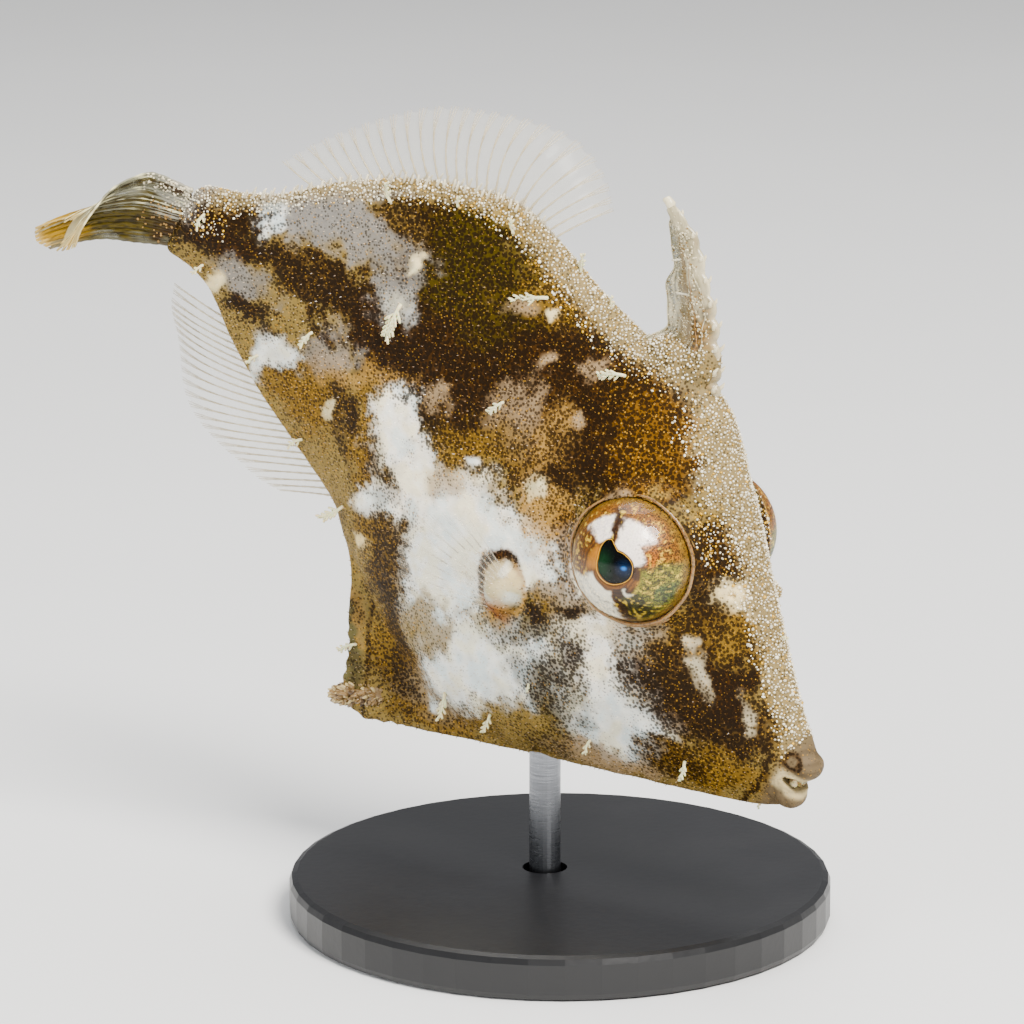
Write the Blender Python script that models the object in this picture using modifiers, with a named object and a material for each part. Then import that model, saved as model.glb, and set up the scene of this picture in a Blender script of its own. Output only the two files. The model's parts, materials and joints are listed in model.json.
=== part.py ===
# A juvenile mottled filefish at life size, swimming head down, held on a plain round stand.
# Lengths are in millimetres until they reach Blender, which gets metres.
#
# The fish is laid out in its own frame first: "back" is the distance behind the snout tip along
# the body's axis, "up" the height above that axis, and "side" the distance to the fish's left.
# Its tail half curves to the right, and the whole fish is then pitched head down over the stand.
# The origin is the centre of the stand's underside, +X is the way that the head points, +Z is up.

import math

import bmesh
import bpy
import numpy as np
from mathutils import Matrix, Vector

MM = 0.001

# Pose and place
PITCH = math.radians(34)
SNOUT_X = 13.3
BELLY_CLEARANCE = 5.0
LOWEST_BELLY = 2.15
BEND_START = 16.0
BEND_AT_TAIL = 4.8
STANDARD_LENGTH = 37.2
GAP = 0.3

# Stand
BASE_RADIUS = 12.0
BASE_THICKNESS = 2.0
BASE_BEVEL = 0.35
ROD_RADIUS = 0.7
ROD_BACK = 10.6
ROD_IN_BODY = 2.6
ROD_IN_BASE = 1.3

# Side view of the body, as (back, up) along the two outlines
BACK_LINE = [
    (-0.3, 0.2), (0.3, 0.65), (2.2, 1.9), (6.9, 5.7), (10.1, 8.3), (12.6, 10.0), (14.4, 10.3),
    (17.6, 9.65), (20.1, 9.8), (22.8, 10.35), (24.6, 10.6), (28.2, 9.3), (32.0, 6.4), (34.2, 3.95),
    (35.6, 3.0), (STANDARD_LENGTH, 2.4),
]
BELLY_LINE = [
    (-0.3, -2.0), (0.3, -2.6), (1.8, -3.8), (6.2, -6.7), (9.9, -9.1), (13.6, -11.6), (17.3, -14.1),
    (19.4, -15.3), (20.4, -15.0), (21.2, -13.2), (22.1, -11.6), (22.9, -9.9), (23.9, -8.7),
    (25.3, -7.4), (26.9, -6.7), (29.8, -5.5), (32.9, -3.6), (35.0, -1.9), (36.2, -1.6),
    (STANDARD_LENGTH, -1.8),
]
# The lower edge of the muscle, above which the body is thick and below which it is only the flap
FLESH_LINE = [
    (-0.3, -2.1), (6.2, -6.7), (12.0, -10.3), (16.0, -11.6), (20.0, -10.6), (23.4, -8.9),
    (26.9, -6.7), (STANDARD_LENGTH, -1.8),
]
# Half the greatest width, and the height at which it lies
HALF_WIDTH = [
    (-0.3, 0.6), (0.3, 0.9), (1.5, 1.25), (3.0, 1.7), (6.0, 2.5), (9.0, 3.2), (12.0, 3.6),
    (16.0, 3.6), (20.0, 3.2), (24.0, 2.5), (28.0, 1.8), (32.0, 1.15), (35.0, 0.9),
    (STANDARD_LENGTH, 0.7),
]
WIDEST_UP = [
    (-0.3, -0.8), (6.0, -0.3), (10.0, 0.9), (16.0, 0.4), (22.0, 0.4), (28.0, 1.2), (34.0, 0.9),
    (STANDARD_LENGTH, 0.4),
]
FLAP_HALF_THICKNESS = 0.36
BACK_ROUNDNESS = 1.75
BELLY_ROUNDNESS = 1.7
RING_SIDES = 15
RING_STATIONS = [
    -0.3, -0.1, 0.3, 1.0, 2.0, 3.2, 4.5, 6.0, 7.4, 8.8, 10.2, 11.6, 13.0, 14.4, 15.8, 17.2, 18.4, 19.3,
    20.0, 20.6, 21.2, 21.8, 22.4, 23.0, 23.7, 24.6, 25.7, 27.0, 28.4, 29.8, 31.2, 32.5, 33.6, 34.6, 35.5,
    36.4, STANDARD_LENGTH,
]

# Eyes
EYE_BACK, EYE_UP, EYE_SIDE = 10.85, 3.25, 2.8
EYE_RADIUS = 2.85
EYE_INNER_DEPTH = 1.6
EYE_FORWARD_TILT = math.radians(10)
EYE_UPWARD_TILT = math.radians(7)
RIM_RADIUS, RIM_THICKNESS, RIM_OUT = 2.98, 0.27, 0.75
ORBIT_RADIUS, ORBIT_HEIGHT = 3.5, 1.5

# Mouth, nose and gills
UPPER_LIP = (0.25, -0.04, 0.62, 0.84, 0.5)
LOWER_LIP = (0.1, -1.55, 0.58, 0.78, 0.62)
MOUTH_UP, MOUTH_CORNER, MOUTH_REACH, MOUTH_SPREAD, MOUTH_OPENING = -0.7, 1.15, 1.9, 3.0, 0.76
TOOTH_HALF_WIDTH, TOOTH_THICKNESS, TOOTH_HEIGHT, TOOTH_BACK, TOOTH_SPACE = 0.3, 0.36, 0.45, 0.7, 0.3
NOSE_BACK, NOSE_UP, NOSE_SUNK = 6.5, 4.3, 0.12
NOSE_LENGTH, NOSE_SWELL, NOSE_HEIGHT = 0.72, 0.26, 0.42
NOSTRIL_RADIUS, NOSTRIL_DEPTH, NOSTRIL_STEPS = 0.19, 0.35, (-0.32, 0.3)
GILL_TOP, GILL_FOOT, GILL_WIDTH, GILL_DEPTH = (14.35, -0.3), (13.2, -2.6), 0.5, 0.9

# Lines that part the body, as (back, up) points from the back edge down
HEAD_CUT = [(17.95, 12.0), (17.45, 9.0), (15.6, 2.5), GILL_TOP, GILL_FOOT, (12.2, -5.6), (12.0, -14.0)]
TAIL_CUT = [(33.2, 7.5), (33.2, -6.0)]
FLAP_CUT = [(25.0, -8.6), (22.9, -9.5), (20.6, -10.9), (17.4, -12.3), (15.7, -15.0)]

# About the middle of each node that the cuts leave, as (back, up)
BODY_NODES = {"head": (7.0, 0.0), "torso": (20.0, 0.0), "tail_stalk": (35.5, 0.6), "belly_flap": (20.6, -13.0)}

# Dorsal spine and the web behind it, as (back, up) points from the root to the tip
SPINE_LINE = [(13.6, 9.4), (14.9, 11.7), (16.4, 13.3), (17.9, 14.6), (19.25, 15.2)]
SPINE_ROOT_RADIUS, SPINE_TIP_RADIUS = 0.78, 0.26
SPINE_BARBS, BARB_REACH, BARB_LEAN = 7, (0.92, 0.56), 0.25
WEB_LINE = [(17.1, 9.0), (16.75, 10.4), (17.0, 11.6), (17.75, 12.8), (18.35, 13.9), (19.0, 15.0)]
WEB_HALF_THICKNESS, WEB_RIPPLE = 0.27, 0.06
PELVIC_SPINE = [(19.3, -14.2), (20.6, -15.1), (21.35, -15.75)]
PELVIC_RADII = [0.55, 0.62, 0.6, 0.5, 0.22]
PELVIC_SPURS = [(0.35, 0.55, 0.35), (0.45, 0.5, -0.35), (0.1, -0.6, 0.3), (0.3, -0.5, -0.3)]

# Branched skin tags, as (node, back, up, sides, lean, length). Those of side 0 stand on the outline,
# and lean gives the way of the tip in side view, as (back, up).
BOTH, RIGHT, EDGE = (1, -1), (-1,), (0,)
TAG_ROOT_RADIUS, TAG_TIP_RADIUS, TAG_SUNK, TAG_KNEE = 0.27, 0.08, 0.45, 0.35
SKIN_TAGS = [
    ("torso", 26.5, 4.0, BOTH, (-0.3, -1.0), 1.5),
    ("torso", 21.3, 8.6, BOTH, (0.7, -0.75), 1.6),
    ("head", 16.3, 8.5, BOTH, (0.75, -0.6), 1.2),
    ("torso", 19.9, 4.1, BOTH, (0.25, -0.95), 0.8),
    ("torso", 29.4, -0.1, BOTH, (0.0, -1.0), 0.8),
    ("torso", 15.7, -10.1, BOTH, (-0.5, -0.85), 1.2),
    ("torso", 13.2, -9.0, BOTH, (-0.3, -0.9), 0.9),
    ("head", 8.5, -6.0, BOTH, (-0.4, -0.9), 0.7),
    ("head", 4.4, -3.4, BOTH, (-0.5, -0.85), 0.9),
    ("torso", 24.5, -6.6, BOTH, (0.4, -0.85), 1.2),
    ("belly_flap", 21.0, -12.3, BOTH, (0.5, -0.85), 0.9),
    ("tail_stalk", 36.1, 1.4, BOTH, (-0.2, -1.0), 0.7),
    ("tail_stalk", 35.2, -0.9, BOTH, (0.2, -1.0), 0.7),
    ("torso", 31.3, -3.2, BOTH, (0.3, -0.95), 0.7),
    ("torso", 27.8, -5.4, RIGHT, (0.4, -0.9), 0.7),
    ("torso", 29.6, 7.2, RIGHT, (0.5, 0.85), 1.0),
    ("torso", 24.3, 9.7, RIGHT, (0.5, 0.85), 0.7),
    ("torso", 21.2, 9.85, EDGE, (0.3, 0.95), 0.9),
    ("torso", 19.1, 9.55, EDGE, (0.5, 0.85), 0.5),
    ("head", 4.4, 3.7, EDGE, (-0.8, 0.55), 0.6),
    ("head", 1.1, -3.2, EDGE, (-0.5, -0.85), 0.5),
]

# Fins
FIN_RAY_HALF, FIN_SKIN_HALF, FIN_EDGE_HALF = 0.38, 0.26, 0.16
DORSAL_FIN = {"first": 23.0, "last": 33.0, "rays": 13, "lengths": [2.7, 3.9, 3.7, 2.9, 1.9]}
ANAL_FIN = {"first": 25.6, "last": 33.6, "rays": 12, "lengths": [2.6, 4.5, 5.8, 5.0, 2.8]}
FIN_STANDS_OFF = 0.35
# Angles are those of the first and the last ray: lean to the left, sweep towards the tail
DORSAL_LEAN, DORSAL_SWEEP = (44, 10), (-12, 36)
ANAL_LEAN, ANAL_SWEEP = 20, (30, 44)
# The tail fin's upper ray, then its lower ray: length, and how steeply it droops at its root and tip
TAIL_FIN_RAYS, TAIL_FIN_ROOT = 10, 0.86
TAIL_LENGTHS, TAIL_ROOT_DROOP, TAIL_TIP_DROOP = (6.9, 5.8), (26, 20), (96, 38)
TAIL_CURL, TAIL_LOWER_OUT = 1.7, 0.5
PECTORAL_BACK, PECTORAL_UP, PECTORAL_HEIGHT, PECTORAL_RAYS, PECTORAL_LENGTH = 15.0, -2.7, 1.9, 8, 4.3
PECTORAL_FAN, PECTORAL_RISE, PECTORAL_FLARE, PECTORAL_CUP = 62, 14, 27, 0.8
PECTORAL_ROOT = 0.5
NOTCH_BETWEEN_RAYS = 0.05

PALETTE = {
    "skin": ((0.30, 0.22, 0.13, 1.0), 0.45, 0.0),
    "fin": ((0.62, 0.62, 0.55, 1.0), 0.35, 0.0),
    "spine": ((0.72, 0.70, 0.62, 1.0), 0.4, 0.0),
    "eye": ((0.45, 0.28, 0.07, 1.0), 0.08, 0.0),
    "tooth": ((0.85, 0.80, 0.62, 1.0), 0.3, 0.0),
    "base": ((0.03, 0.03, 0.032, 1.0), 0.35, 0.0),
    "rod": ((0.55, 0.56, 0.58, 1.0), 0.25, 1.0),
}


# Smooth curves through a few points

def smooth_curve(points):
    """A function that runs smoothly through the points without overshooting them."""
    xs = np.array([p[0] for p in points], float)
    ys = np.array([p[1] for p in points], float)
    steps = np.diff(xs)
    slopes = np.diff(ys) / steps
    tangents = np.zeros(len(xs))
    tangents[0], tangents[-1] = slopes[0], slopes[-1]
    for i in range(1, len(xs) - 1):
        if slopes[i - 1] * slopes[i] > 0:
            left, right = 2 * steps[i] + steps[i - 1], steps[i] + 2 * steps[i - 1]
            tangents[i] = (left + right) / (left / slopes[i - 1] + right / slopes[i])

    def value(x):
        i = int(np.clip(np.searchsorted(xs, x) - 1, 0, len(steps) - 1))
        t = float(np.clip((x - xs[i]) / steps[i], 0, 1))
        rise = (3 - 2 * t) * t * t
        return float(
            ys[i] * (1 - rise) + ys[i + 1] * rise
            + steps[i] * (tangents[i] * t * (1 - t) ** 2 - tangents[i + 1] * t * t * (1 - t))
        )

    return value


def between(ends, share):
    """The value at a share of the way from the first of two ends to the second."""
    return ends[0] + (ends[1] - ends[0]) * share


def along(points, share):
    """The point at a share of the way along a polyline, by length, rounded by a cubic."""
    flat = [np.array(p, float) for p in points]
    reach = np.concatenate([[0], np.cumsum([np.linalg.norm(b - a) for a, b in zip(flat, flat[1:])])])
    place = [smooth_curve(list(zip(reach / reach[-1], [p[k] for p in flat]))) for k in range(len(flat[0]))]
    return [axis(share) for axis in place]


back_up = smooth_curve(BACK_LINE)
belly_up = smooth_curve(BELLY_LINE)
flesh_up = smooth_curve(FLESH_LINE)
half_width = smooth_curve(HALF_WIDTH)
widest_up = smooth_curve(WIDEST_UP)


def bend_side(back):
    """How far the body's middle lies to the fish's left; the tail curves right, so it is negative."""
    past = max(0.0, back - BEND_START)
    return -BEND_AT_TAIL * (past / (STANDARD_LENGTH - BEND_START)) ** 2


def in_world(back, up, side=0.0):
    """A point of the fish's own frame, in metres in the part's frame."""
    x = SNOUT_X - back * math.cos(PITCH) + up * math.sin(PITCH)
    z = BASE_THICKNESS + BELLY_CLEARANCE + LOWEST_BELLY + back * math.sin(PITCH) + up * math.cos(PITCH)
    return Vector((x, side + bend_side(back), z)) * MM


def surface_half_width(back, up):
    """Half the body's width at a height: a lens of flesh, and below it the thin flap."""
    top, bottom, flesh, middle = back_up(back), belly_up(back), flesh_up(back), widest_up(back)
    flesh = max(flesh, bottom)
    if up >= middle:
        share, power = (up - middle) / (top - middle), BACK_ROUNDNESS
    else:
        share, power = (middle - up) / (middle - flesh), BELLY_ROUNDNESS
    body = half_width(back) * max(0.0, 1 - min(1.0, share) ** power) ** (1 / power)
    from_edge = max(0.0, min(up - bottom, top - up)) / FLAP_HALF_THICKNESS
    sheet = FLAP_HALF_THICKNESS * math.sqrt(max(0.0, 1 - (1 - min(1.0, from_edge)) ** 2))
    return (body ** 4 + sheet ** 4) ** 0.25


# Mesh helpers

def link(name, mesh, collection, colour=None):
    """Makes an object of a mesh, in a collection, with one of the palette's materials."""
    made = bpy.data.objects.new(name, mesh)
    collection.objects.link(made)
    if colour:
        mesh.materials.append(material(colour))
    return made


def material(name):
    """The palette's Principled material of that name, made once."""
    if name in bpy.data.materials:
        return bpy.data.materials[name]
    colour, roughness, metallic = PALETTE[name]
    made = bpy.data.materials.new(name)
    made.use_nodes = True
    shader = made.node_tree.nodes["Principled BSDF"]
    shader.inputs["Base Color"].default_value = colour
    shader.inputs["Roughness"].default_value = roughness
    shader.inputs["Metallic"].default_value = metallic
    made.diffuse_color = colour
    return made


def finish_bmesh(name, shape):
    """A mesh of the bmesh, with its faces pointing out."""
    bmesh.ops.recalc_face_normals(shape, faces=shape.faces)
    if shape.calc_volume(signed=True) < 0:
        bmesh.ops.reverse_faces(shape, faces=shape.faces)
    mesh = bpy.data.meshes.new(name)
    shape.to_mesh(mesh)
    shape.free()
    return mesh


def loft(name, rings):
    """A closed mesh through rings of equally many points, capped by a fan at each end."""
    shape = bmesh.new()
    rows = [[shape.verts.new(p) for p in ring] for ring in rings]
    count = len(rows[0])
    for a, b in zip(rows, rows[1:]):
        for i in range(count):
            j = (i + 1) % count
            shape.faces.new((a[i], a[j], b[j]))
            shape.faces.new((a[i], b[j], b[i]))
    for row in (rows[0], rows[-1]):
        middle = shape.verts.new(sum((v.co for v in row), Vector()) / count)
        for i in range(count):
            shape.faces.new((row[i], row[(i + 1) % count], middle))
    return finish_bmesh(name, shape)


def combine(target, others, operation, solver="EXACT"):
    """Joins or cuts target with the other closed meshes, applies that, and removes them."""
    tools = bpy.data.collections.new("tools")
    bpy.context.scene.collection.children.link(tools)
    for other in others:
        for held in list(other.users_collection):
            held.objects.unlink(other)
        tools.objects.link(other)
    modifier = target.modifiers.new("combine", "BOOLEAN")
    modifier.operation = operation
    modifier.solver = solver
    modifier.operand_type = "COLLECTION"
    modifier.collection = tools
    bpy.context.view_layer.update()
    graph = bpy.context.evaluated_depsgraph_get()
    made = bpy.data.meshes.new_from_object(target.evaluated_get(graph))
    target.modifiers.clear()
    old = target.data
    target.data = made
    bpy.data.meshes.remove(old)
    for other in list(tools.objects):
        bpy.data.objects.remove(other)
    bpy.data.collections.remove(tools)
    return target


def loose_parts(mesh):
    """The mesh's separate closed surfaces, as lists of faces in one bmesh, with that bmesh."""
    shape = bmesh.new()
    shape.from_mesh(mesh)
    bmesh.ops.triangulate(shape, faces=shape.faces)
    left, parts = set(shape.faces), []
    while left:
        found, edge = set(), [next(iter(left))]
        while edge:
            face = edge.pop()
            if face in found:
                continue
            found.add(face)
            for side in face.edges:
                edge.extend(f for f in side.link_faces if f not in found)
        left -= found
        parts.append(found)
    return shape, parts


def volume_of(faces):
    """The volume that a closed surface of triangles holds."""
    total = 0.0
    for face in faces:
        a, b, c = (v.co for v in face.verts)
        total += a.dot(b.cross(c)) / 6
    return total


def mesh_of(name, faces):
    """A mesh of some faces of a bmesh. Two faces on the same points hold nothing, so both stay out."""
    shape = bmesh.new()
    copies, doubled = {}, {}
    for face in faces:
        doubled.setdefault(frozenset(face.verts), []).append(face)
    for alike in doubled.values():
        if len(alike) % 2 == 0:
            continue
        for v in alike[0].verts:
            if v not in copies:
                copies[v] = shape.verts.new(v.co)
        shape.faces.new([copies[v] for v in alike[0].verts])
    mesh = bpy.data.meshes.new(name)
    shape.to_mesh(mesh)
    shape.free()
    return mesh


def keep_largest(target):
    """Leaves an object only its largest closed surface."""
    shape, parts = loose_parts(target.data)
    best = max(parts, key=volume_of)
    mesh = mesh_of(target.data.name, best)
    for held in target.data.materials:
        mesh.materials.append(held)
    shape.free()
    target.data = mesh
    return target


# The body and what is cut from it

def body_ring(back, grow):
    """The points round the body at one station, pushed out by grow."""
    top, bottom = back_up(back) + grow, belly_up(back) - grow
    ring = []
    for step in range(2 * RING_SIDES):
        turn = math.pi * step / RING_SIDES
        up = bottom + (top - bottom) * (1 - math.cos(turn)) / 2
        inner = min(max(up, bottom + grow), top - grow)
        width = surface_half_width(back, inner) + grow * abs(math.sin(turn))
        side = width if step < RING_SIDES else -width
        if step in (0, RING_SIDES):
            side = 0.0
        ring.append(in_world(back, up, side))
    return ring


def body_mesh(name, grow=0.0):
    """The whole body from the lips to the tail fin's root."""
    stations = [s - grow if s < 0 else s for s in RING_STATIONS]
    stations[-1] += grow
    return loft(name, [body_ring(s, grow) for s in stations])


def ellipsoid(name, centre, radii, segments=16, rings=10):
    """An ellipsoid in the fish's frame: radii along back, side and up."""
    shape = bmesh.new()
    bmesh.ops.create_uvsphere(shape, u_segments=segments, v_segments=rings, radius=1.0)
    back, up, side = centre
    for v in shape.verts:
        v.co = in_world(back + radii[0] * v.co.x, up + radii[2] * v.co.z, side + radii[1] * v.co.y)
    return finish_bmesh(name, shape)


def box_in_fish(name, back, up, side):
    """A block between two limits on each of the fish's own axes."""
    shape = bmesh.new()
    bmesh.ops.create_cube(shape, size=1.0)
    for v in shape.verts:
        share = v.co + Vector((0.5, 0.5, 0.5))
        v.co = in_world(
            back[0] + (back[1] - back[0]) * share.x,
            up[0] + (up[1] - up[0]) * share.z,
            side[0] + (side[1] - side[0]) * share.y,
        )
    return finish_bmesh(name, shape)


def eye_frame(hand):
    """The matrix whose local +Z looks out of the eye on the fish's left (+1) or right (-1)."""
    forward = Vector((math.cos(PITCH), 0, -math.sin(PITCH)))
    upward = Vector((math.sin(PITCH), 0, math.cos(PITCH)))
    out = (
        Vector((0, hand, 0))
        + forward * math.tan(EYE_FORWARD_TILT)
        + upward * math.tan(EYE_UPWARD_TILT)
    ).normalized()
    turn = out.to_track_quat("Z", "Y").to_matrix().to_4x4()
    return Matrix.Translation(in_world(EYE_BACK, EYE_UP, hand * EYE_SIDE)) @ turn


def eyeball(name, hand, grow=0.0):
    """A ball that is flatter inside the head than outside it."""
    shape = bmesh.new()
    radius = (EYE_RADIUS + grow) * MM
    bmesh.ops.create_uvsphere(shape, u_segments=28, v_segments=16, radius=radius)
    squeeze = (EYE_INNER_DEPTH + grow) / (EYE_RADIUS + grow)
    for v in shape.verts:
        if v.co.z < 0:
            v.co.z *= squeeze
    bmesh.ops.transform(shape, matrix=eye_frame(hand), verts=shape.verts)
    return finish_bmesh(name, shape)


def orbit(name, hand):
    """The low swelling of the head round the eye, which carries the rim."""
    shape = bmesh.new()
    bmesh.ops.create_uvsphere(shape, u_segments=32, v_segments=12, radius=ORBIT_RADIUS * MM)
    for v in shape.verts:
        v.co.z *= ORBIT_HEIGHT / ORBIT_RADIUS
    bmesh.ops.transform(shape, matrix=eye_frame(hand), verts=shape.verts)
    return finish_bmesh(name, shape)


def eye_rim(name, hand):
    """The fold of skin round the eye, as a ring."""
    bpy.ops.mesh.primitive_torus_add(
        major_segments=32, minor_segments=8,
        major_radius=RIM_RADIUS * MM, minor_radius=RIM_THICKNESS * MM,
    )
    ring = bpy.context.object
    mesh = ring.data
    mesh.transform(eye_frame(hand) @ Matrix.Translation((0, 0, RIM_OUT * MM)))
    bpy.data.objects.remove(ring)
    mesh.name = name
    return mesh


def ribbon(name, line, width=GAP, reach=9.0):
    """A thin bent wall along a line in side view, which parts the body where it passes."""
    points = [Vector(p) for p in line]
    shape = bmesh.new()
    rows = []
    for i, p in enumerate(points):
        ahead = (points[min(i + 1, len(points) - 1)] - points[max(i - 1, 0)]).normalized()
        off = Vector((ahead.y, -ahead.x)) * width / 2
        corners = [(p + off, -reach), (p + off, reach), (p - off, reach), (p - off, -reach)]
        rows.append([shape.verts.new(in_world(c.x, c.y, side)) for c, side in corners])
    for a, b in zip(rows, rows[1:]):
        for i in range(4):
            j = (i + 1) % 4
            shape.faces.new((a[i], a[j], b[j]))
            shape.faces.new((a[i], b[j], b[i]))
    shape.faces.new(rows[0])
    shape.faces.new(rows[-1])
    return finish_bmesh(name, shape)


def gill_slit(name, hand):
    """The gill opening: where the cut behind the head is widened close to the skin."""
    reach = GILL_DEPTH + 0.6
    mesh = ribbon(name, [GILL_TOP, GILL_FOOT], GILL_WIDTH, reach)
    skin = surface_half_width(*GILL_FOOT)
    mesh.transform(Matrix.Translation((0, hand * (skin - GILL_DEPTH + reach) * MM, 0)))
    return mesh


def cylinder(name, radius, bottom, top, at, segments=32):
    """An upright cylinder between two heights at a place on the floor plan, in millimetres."""
    shape = bmesh.new()
    bmesh.ops.create_cone(
        shape, cap_ends=True, cap_tris=False, segments=segments,
        radius1=radius * MM, radius2=radius * MM, depth=(top - bottom) * MM,
        matrix=Matrix.Translation(Vector((at, 0, (bottom + top) / 2)) * MM),
    )
    return finish_bmesh(name, shape)


def rod_place():
    """Where the rod stands along X, and the height at which it enters the belly."""
    spot = in_world(ROD_BACK, belly_up(ROD_BACK)) / MM
    return spot.x, spot.z


def make_body(parts):
    """Head, torso, belly flap and tail stalk: one body, furnished, then parted by thin cuts."""
    body = link("body", body_mesh("body"), parts, "skin")
    added = [
        link("upper_lip", ellipsoid("upper_lip", (UPPER_LIP[0], UPPER_LIP[1], 0), UPPER_LIP[2:]), parts),
        link("lower_lip", ellipsoid("lower_lip", (LOWER_LIP[0], LOWER_LIP[1], 0), LOWER_LIP[2:]), parts),
    ]
    for hand in (1, -1):
        added.append(link("orbit", orbit("orbit", hand), parts))
        added.append(link("rim", eye_rim("rim", hand), parts))
        nose_side = hand * (surface_half_width(NOSE_BACK, NOSE_UP) - NOSE_SUNK)
        size = (NOSE_LENGTH, NOSE_SWELL, NOSE_HEIGHT)
        mound = ellipsoid("nose", (NOSE_BACK, NOSE_UP, nose_side), size, 12, 8)
        added.append(link("nose", mound, parts))
    combine(body, added, "UNION", "MANIFOLD")

    middle = (MOUTH_CORNER - MOUTH_REACH, MOUTH_UP, 0)
    mouth = ellipsoid("mouth", middle, (MOUTH_REACH, MOUTH_SPREAD, MOUTH_OPENING / 2), 20, 10)
    rod_x, rod_z = rod_place()
    cutters = [
        link("mouth", mouth, parts),
        link("rod_hole", cylinder("rod_hole", ROD_RADIUS + GAP, 0, rod_z + ROD_IN_BODY + GAP, rod_x), parts),
        link("head_cut", ribbon("head_cut", HEAD_CUT), parts),
        link("tail_cut", ribbon("tail_cut", TAIL_CUT), parts),
        link("flap_cut", ribbon("flap_cut", FLAP_CUT), parts),
        link("upper_tooth_bed", tooth("upper_tooth_bed", 1, GAP), parts),
        link("lower_tooth_bed", tooth("lower_tooth_bed", -1, GAP), parts),
    ]
    for hand in (1, -1):
        cutters.append(link("socket", eyeball("socket", hand, GAP), parts))
        cutters.append(link("slit", gill_slit("slit", hand), parts))
        pit_side = hand * (surface_half_width(NOSE_BACK, NOSE_UP) + NOSE_SWELL)
        for step in NOSTRIL_STEPS:
            size = (NOSTRIL_RADIUS, NOSTRIL_DEPTH, NOSTRIL_RADIUS)
            pit = ellipsoid("pit", (NOSE_BACK + step, NOSE_UP, pit_side), size, 10, 6)
            cutters.append(link("pit", pit, parts))
    combine(body, cutters, "DIFFERENCE", "MANIFOLD")

    shape, pieces = loose_parts(body.data)
    pieces = sorted(pieces, key=volume_of, reverse=True)[:len(BODY_NODES)]
    nodes = {}
    for name, (back, up) in BODY_NODES.items():
        seed = in_world(back, up)
        near = min(pieces, key=lambda faces: (middle_of(faces) - seed).length)
        pieces.remove(near)
        nodes[name] = link(name, mesh_of(name, near), parts, "skin")
    shape.free()
    bpy.data.objects.remove(body)
    return nodes


def middle_of(faces):
    """The mean of the faces' middles, weighted by area."""
    total, weight = Vector(), 0.0
    for face in faces:
        size = face.calc_area()
        total += face.calc_center_median() * size
        weight += size
    return total / weight


def tooth(name, hand, grow=0.0):
    """The front teeth of one jaw as a small chisel: hand +1 hangs from the upper jaw."""
    inner = MOUTH_UP + hand * TOOTH_SPACE / 2
    outer = inner + hand * (TOOTH_HEIGHT + grow)
    width = TOOTH_HALF_WIDTH + grow
    return box_in_fish(
        name, (TOOTH_BACK - grow, TOOTH_BACK + TOOTH_THICKNESS + grow),
        (min(inner, outer), max(inner, outer)), (-width, width),
    )


# Fins

def sheet(name, rows, thickness):
    """A thin closed sheet: rows of points, and half its thickness at each, split alike on both faces."""
    grid = [[np.array(p, float) for p in row] for row in rows]
    high, wide = len(grid), len(grid[0])
    shape = bmesh.new()
    faces = {1: [], -1: []}
    for i in range(high):
        for sign in faces:
            faces[sign].append([])
        for j in range(wide):
            across = grid[i][min(j + 1, wide - 1)] - grid[i][max(j - 1, 0)]
            outward = grid[min(i + 1, high - 1)][j] - grid[max(i - 1, 0)][j]
            normal = np.cross(across, outward)
            normal /= max(np.linalg.norm(normal), 1e-9)
            for sign in faces:
                spot = grid[i][j] + sign * normal * thickness(i / (high - 1), j) * MM
                faces[sign][i].append(shape.verts.new(Vector(spot)))
    for grid_of in faces.values():
        for i in range(high - 1):
            for j in range(wide - 1):
                a, b = grid_of[i][j], grid_of[i][j + 1]
                c, d = grid_of[i + 1][j + 1], grid_of[i + 1][j]
                shape.faces.new((a, b, c))
                shape.faces.new((a, c, d))
    rim = [(0, j) for j in range(wide)] + [(i, wide - 1) for i in range(1, high)]
    rim += [(high - 1, j) for j in range(wide - 2, -1, -1)] + [(i, 0) for i in range(high - 2, 0, -1)]
    for (i, j), (k, m) in zip(rim, rim[1:] + rim[:1]):
        shape.faces.new((faces[1][i][j], faces[1][k][m], faces[-1][k][m]))
        shape.faces.new((faces[1][i][j], faces[-1][k][m], faces[-1][i][j]))
    return finish_bmesh(name, shape)


def ray_thickness(share, column):
    """Half the thickness of a fin: even columns are rays, odd ones the skin between, thinner to the edge."""
    inner = FIN_RAY_HALF if column % 2 == 0 else FIN_SKIN_HALF
    return inner + (FIN_EDGE_HALF - inner) * share ** 1.5


def edge_fin_rows(fin, edge, side_of_body, lean, sweep, steps=6):
    """Rows of points of a fin that stands on the body's upper (+1) or lower (-1) edge."""
    columns = 2 * fin["rays"] - 1
    length_at = smooth_curve(list(zip(np.linspace(0, 1, len(fin["lengths"])), fin["lengths"])))
    rows = []
    for i in range(steps):
        share = i / (steps - 1)
        row = []
        for j in range(columns):
            place = j / (columns - 1)
            back = fin["first"] + (fin["last"] - fin["first"]) * place
            slope = (edge(back + 0.2) - edge(back - 0.2)) / 0.4
            upright = Vector((-slope, 1.0)).normalized() * side_of_body
            forward = Vector((1.0, slope)).normalized()
            swept = upright * math.cos(sweep(place)) + forward * math.sin(sweep(place))
            notch = 0.0 if j % 2 == 0 else NOTCH_BETWEEN_RAYS * share
            reach = length_at(place) * (share - notch)
            tip = lean(place) * share
            spot = Vector((back, edge(back))) + upright * FIN_STANDS_OFF + swept * reach * math.cos(tip)
            row.append(in_world(spot.x, spot.y, reach * math.sin(tip)))
        rows.append(row)
    return rows


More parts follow.
